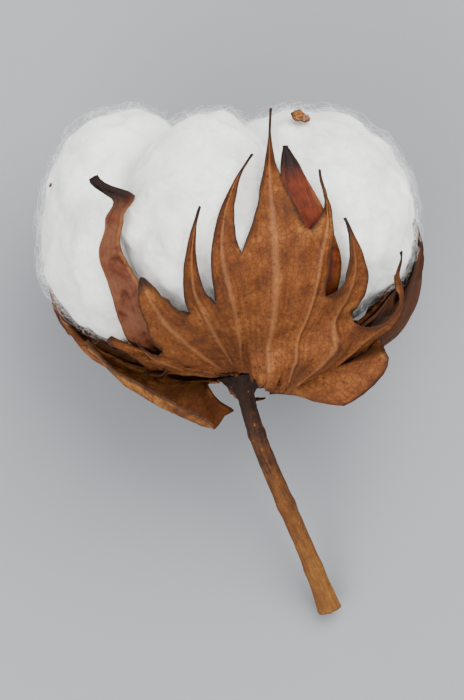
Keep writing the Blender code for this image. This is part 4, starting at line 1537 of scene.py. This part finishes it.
@dataclass
class Stalk:
    """The woody stalk, from the hub under the calyx to the end that snapped off its branch."""

    shop: Workshop
    bark: bpy.types.Material
    pith: bpy.types.Material
    reach: Vector = field(default_factory=lambda: Vector((0.0165, -0.0400, 0.0)))
    radius: float = 0.00150
    end_radius: float = 0.00235
    end_height: float = 0.00193
    hub_radius: float = 0.0046
    hub_height: float = 0.0042
    start: float = 0.0009  # height of its top, inside the calyx
    straight: float = -0.012  # it leaves the boll straight, towards this height
    last_bend: float = 0.55
    crowding: float = 1.35  # of the rings towards the boll
    rings: int = 190
    resolution: int = 12
    nodes: tuple = (0.30, 0.62, 0.86)  # where the low nodes are, as shares of its length
    node: float = 0.00018
    splinter: float = 0.0005
    inset: float = 0.0004  # of the ring of bark round the snapped end

    def build(self) -> None:
        """Makes the stalk as one closed tube with a snapped end."""
        lie = self.shop.lie
        end = lie.turn.transposed() @ (self.reach + UP * (self.end_height - lie.origin.z))
        line = [UP * self.start, UP * self.straight, end * self.last_bend, end]
        places, radii = [], []
        for ring in range(self.rings):
            share = (ring / (self.rings - 1)) ** self.crowding
            places.append(bezier(line, share))
            radii.append(self.radius_at(places[-1], share))
        mesh = self.tube(places, radii)
        self.carve(mesh, places)
        self.shop.piece("stalk_wood", mesh, [self.bark, self.pith], Slot.BARK, ["stalk"])

    def radius_at(self, place: Vector, share: float) -> float:
        """The stalk's radius, with its hub, its swollen end and a few low nodes."""
        hub = max(0.0, 1 - place.length / self.hub_height)
        swelling = max(0.0, (share - 0.8) / 0.2) ** 2
        plain = mix(self.radius, self.end_radius, 0.35 * share + 0.65 * swelling)
        nodes = sum(self.node * bell((share - at) / 0.02) for at in self.nodes)
        return plain + nodes + (self.hub_radius - self.radius) * hub**1.5

    def tube(self, places: list[Vector], radii: list[float]) -> bmesh.types.BMesh:
        """Sweeps a round section along the stalk's line."""
        curve = bpy.data.curves.new("stalk_line", "CURVE")
        curve.dimensions = "3D"
        curve.bevel_depth = 1.0
        curve.bevel_resolution = self.resolution
        curve.use_fill_caps = True
        add_line(curve, places, radii)
        mesh = bmesh.new()
        mesh.from_mesh(drawn_mesh(curve))
        bmesh.ops.remove_doubles(mesh, verts=mesh.verts, dist=1e-7)
        return mesh

    def carve(self, mesh: bmesh.types.BMesh, places: list[Vector]) -> None:
        """Gives the tube its ribs, pores and splintered end, and writes its maps."""
        along = mesh.verts.layers.float.new("along")
        grain = mesh.loops.layers.uv.new("leaf")
        ends = (places[-1] - places[-2]).normalized()
        cap = max(mesh.faces, key=lambda face: face.normal.dot(ends) if len(face.verts) > 8 else -1.0)
        cap.material_index = 1
        inner = bmesh.ops.inset_region(mesh, faces=[cap], thickness=self.inset, depth=0.0)["faces"]
        for face in inner:
            face.material_index = 1
        bmesh.ops.poke(mesh, faces=[cap])
        angles, shares = {}, {}
        for vertex in mesh.verts:
            number = min(range(len(places)), key=lambda each: (places[each] - vertex.co).length_squared)
            offset = vertex.co - places[number]
            angles[vertex] = math.atan2(offset.x, -offset.y)
            shares[vertex] = number / (len(places) - 1)
        splinters = {vertex for face in mesh.faces if face.material_index == 1 for vertex in face.verts}
        mesh.normal_update()
        for vertex in list(mesh.verts):
            angle, share = angles[vertex], shares[vertex]
            ring = Vector((math.cos(angle), math.sin(angle), share * 3))
            ribs = ripple(0.00016, ring.x * 3.4, ring.y * 3.4, ring.z)
            knobs = ripple(0.00008, ring.x * 2, ring.y * 2, share * 40)
            hub = max(0.0, 1 - vertex.co.length / (2.2 * self.hub_height))
            scars = hub * ripple(0.0004, *vertex.co * 900)
            vertex[along] = share
            if vertex in splinters:
                vertex.co += ends * self.splinter * (noise.noise(vertex.co * 2400) - 0.5)
            else:
                vertex.co += vertex.normal * (ribs + knobs + scars)
            vertex.co = self.shop.lie.settle(vertex.co)
        for face in mesh.faces:
            turns = [angles[loop.vert] for loop in face.loops]
            wrap = max(turns) - min(turns) > math.pi
            for loop, turn in zip(face.loops, turns):
                around = turn + math.tau if wrap and turn < 0 else turn
                loop[grain].uv = (around / math.tau, shares[loop.vert] * 5)


@dataclass(frozen=True)
class Crumb:
    """A scrap of dry leaf caught in the lint, placed by its azimuth and elevation in degrees."""

    name: str
    azimuth: float
    elevation: float
    length: float
    width: float
    nodes: tuple[str, ...] = ()
    seed: int = 0


CRUMBS = (
    Crumb("leaf_scrap_1", 40.0, 36.0, 0.0042, 0.0032, ("leaf_crumb",), 3),
    Crumb("leaf_scrap_2", -70.0, 20.0, 0.0013, 0.0007, (), 8),
)


@dataclass
class Crumbs:
    """The scraps of leaf that the lint has caught."""

    shop: Workshop
    under: Under
    material: bpy.types.Material
    columns: int = 16
    rows: int = 12
    wall: float = 0.00016
    gap: float = 0.0002
    ragged: float = 0.30

    def build(self) -> None:
        """Makes the scraps."""
        for crumb in CRUMBS:
            self.make(crumb)

    def make(self, crumb: Crumb) -> None:
        """Makes one crumpled scrap with a ragged rim."""
        ray = direction(math.radians(crumb.azimuth), math.radians(crumb.elevation))
        foot = HEART + ray * (self.under.outermost(ray) + self.gap)
        turn = ray.to_track_quat("Z", "Y").to_matrix()
        sheet = Sheet(sheet_grid(self.columns, self.rows))
        for vertex in sheet.mesh.verts:
            x, y = 2 * vertex.co.x / self.columns - 1, 2 * vertex.co.y / self.rows - 1
            round_x, round_y = x * math.sqrt(1 - y * y / 2), y * math.sqrt(1 - x * x / 2)
            angle = math.atan2(round_y, round_x)
            ragged = 1 + ripple(self.ragged, math.cos(angle) * 2.2, math.sin(angle) * 2.2, crumb.seed)
            flat = Vector((round_x * crumb.length / 2, round_y * crumb.width / 2, 0.0)) * ragged
            curl = 0.30 * crumb.width * (round_y**2) + 0.12 * crumb.length * round_x**2
            flat.z = curl + ripple(0.00030, x * 1.6, y * 1.6, crumb.seed * 1.3)
            rim = ease(0.75, 1.0, max(abs(x), abs(y)))
            sheet.note(vertex, (x * 0.3, y * 0.3), (bell(y / 0.2), rim, 0.0))
            vertex.co = foot + turn @ flat
        sheet.emboss()
        self.shop.piece(crumb.name, sheet.mesh, [self.material], Slot.BRACT, crumb.nodes, self.wall)


# ---------------------------------------------------------------- the studio


@dataclass
class Studio:
    """A plain pale table, soft light from above, and the camera that looks down on the boll."""

    elevation: float = math.radians(80.0)
    distance: float = 1.6
    frame_height: float = 0.130  # metres of the scene that fit in the picture's height
    sensor: float = 36.0
    lamps: tuple = (  # (name, place, size, power)
        ("key", (0.26, 0.32, 0.76), 0.70, 12.0),
        ("fill", (-0.35, -0.50, 0.60), 0.60, 7.0),
    )
    table_size: float = 2.5
    sky: str = "E8EAEC"
    sky_strength: float = 1.95

    def build(self) -> None:
        """Makes the table, the lights and the camera."""
        self.table()
        self.world()
        for name, place, size, power in self.lamps:
            self.lamp(name, Vector(place), size, power)
        self.camera()

    def table(self) -> None:
        """Makes the tabletop."""
        mesh = bmesh.new()
        bmesh.ops.create_grid(mesh, x_segments=1, y_segments=1, size=self.table_size)
        data = bpy.data.meshes.new("table")
        mesh.to_mesh(data)
        mesh.free()
        data.materials.append(TableFinish().material())
        put("table", data)

    def world(self) -> None:
        """Gives the room its even light."""
        world = bpy.data.worlds.new("room")
        world.use_nodes = True
        background = world.node_tree.nodes["Background"]
        background.inputs["Color"].default_value = (*tint(self.sky), 1.0)
        background.inputs["Strength"].default_value = self.sky_strength
        bpy.context.scene.world = world

    def lamp(self, name: str, place: Vector, size: float, power: float) -> None:
        """Makes a soft square lamp that faces the boll."""
        light = bpy.data.lights.new(name, "AREA")
        light.size = size
        light.energy = power
        self.aim(put(name, light), place, place - self.target())

    @staticmethod
    def target() -> Vector:
        """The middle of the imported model."""
        return (CAD_BOX[0] + CAD_BOX[1]) / 2

    @staticmethod
    def aim(made: bpy.types.Object, place: Vector, back: Vector) -> None:
        """Stands a lamp or the camera at a place, with its back turned this way."""
        made.location = place
        made.rotation_mode = "QUATERNION"
        made.rotation_quaternion = back.to_track_quat("Z", "Y")

    def camera(self) -> None:
        """Makes the camera."""
        back = Vector((0.0, -math.cos(self.elevation), math.sin(self.elevation)))
        camera = bpy.data.cameras.new("camera")
        camera.sensor_width = self.sensor
        camera.lens = self.sensor * self.distance / self.frame_height
        made = put("camera", camera)
        self.aim(made, self.target() + back * self.distance, back)
        bpy.context.scene.camera = made


def main() -> None:
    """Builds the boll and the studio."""
    logging.basicConfig(level=logging.INFO, format="%(name)s %(message)s")
    noise.seed_set(NOISE_SEED)
    lie = Lie.of_stalk()
    shop = Workshop(lie)
    heart = lie.matrix @ HEART
    leaves = {
        # the right bract's finish is darkened all over with painted shade
        "bract_right": LeafFinish("leaf_right_in_shade", heart, shade=0.7).material(),
        "bract_front": LeafFinish("leaf_front", heart).material(),
        # the left bract's inner colour is the painted shade on its faces turned towards the boll
        "bract_left": LeafFinish(
            "leaf_left", heart, bright="A06E30", tan="80501F", inner="5C3016"
        ).material(),
    }
    packed = Under(lie)
    packed.add(frame["nodes"][f"lock_{number}"].data for number in range(1, 6))
    wood = CapsuleFinish("capsule_wood", heart).material()
    bleached = CapsuleFinish("capsule_bleached", heart, fade=0.6).material()
    Capsule(shop, packed, wood, bleached).build()
    # the calyx shares the right bract's finish and its painted shade
    Calyx(shop, packed, leaves["bract_right"]).build()
    Foliage(shop, packed, leaves).build()
    cover = Under(lie)
    cover.trees = packed.trees[1:]
    Lint(shop, cover, LintFinish().material(), FibreFinish().material()).build()
    for number in range(1, 6):
        packed.add_piece(bpy.data.objects[f"lint_lock_{number}"])
    Stalk(shop, BarkFinish().material(), PithFinish().material()).build()
    Crumbs(shop, packed, leaves["bract_left"]).build()
    Studio().build()


if __name__ == "__main__":
    main()
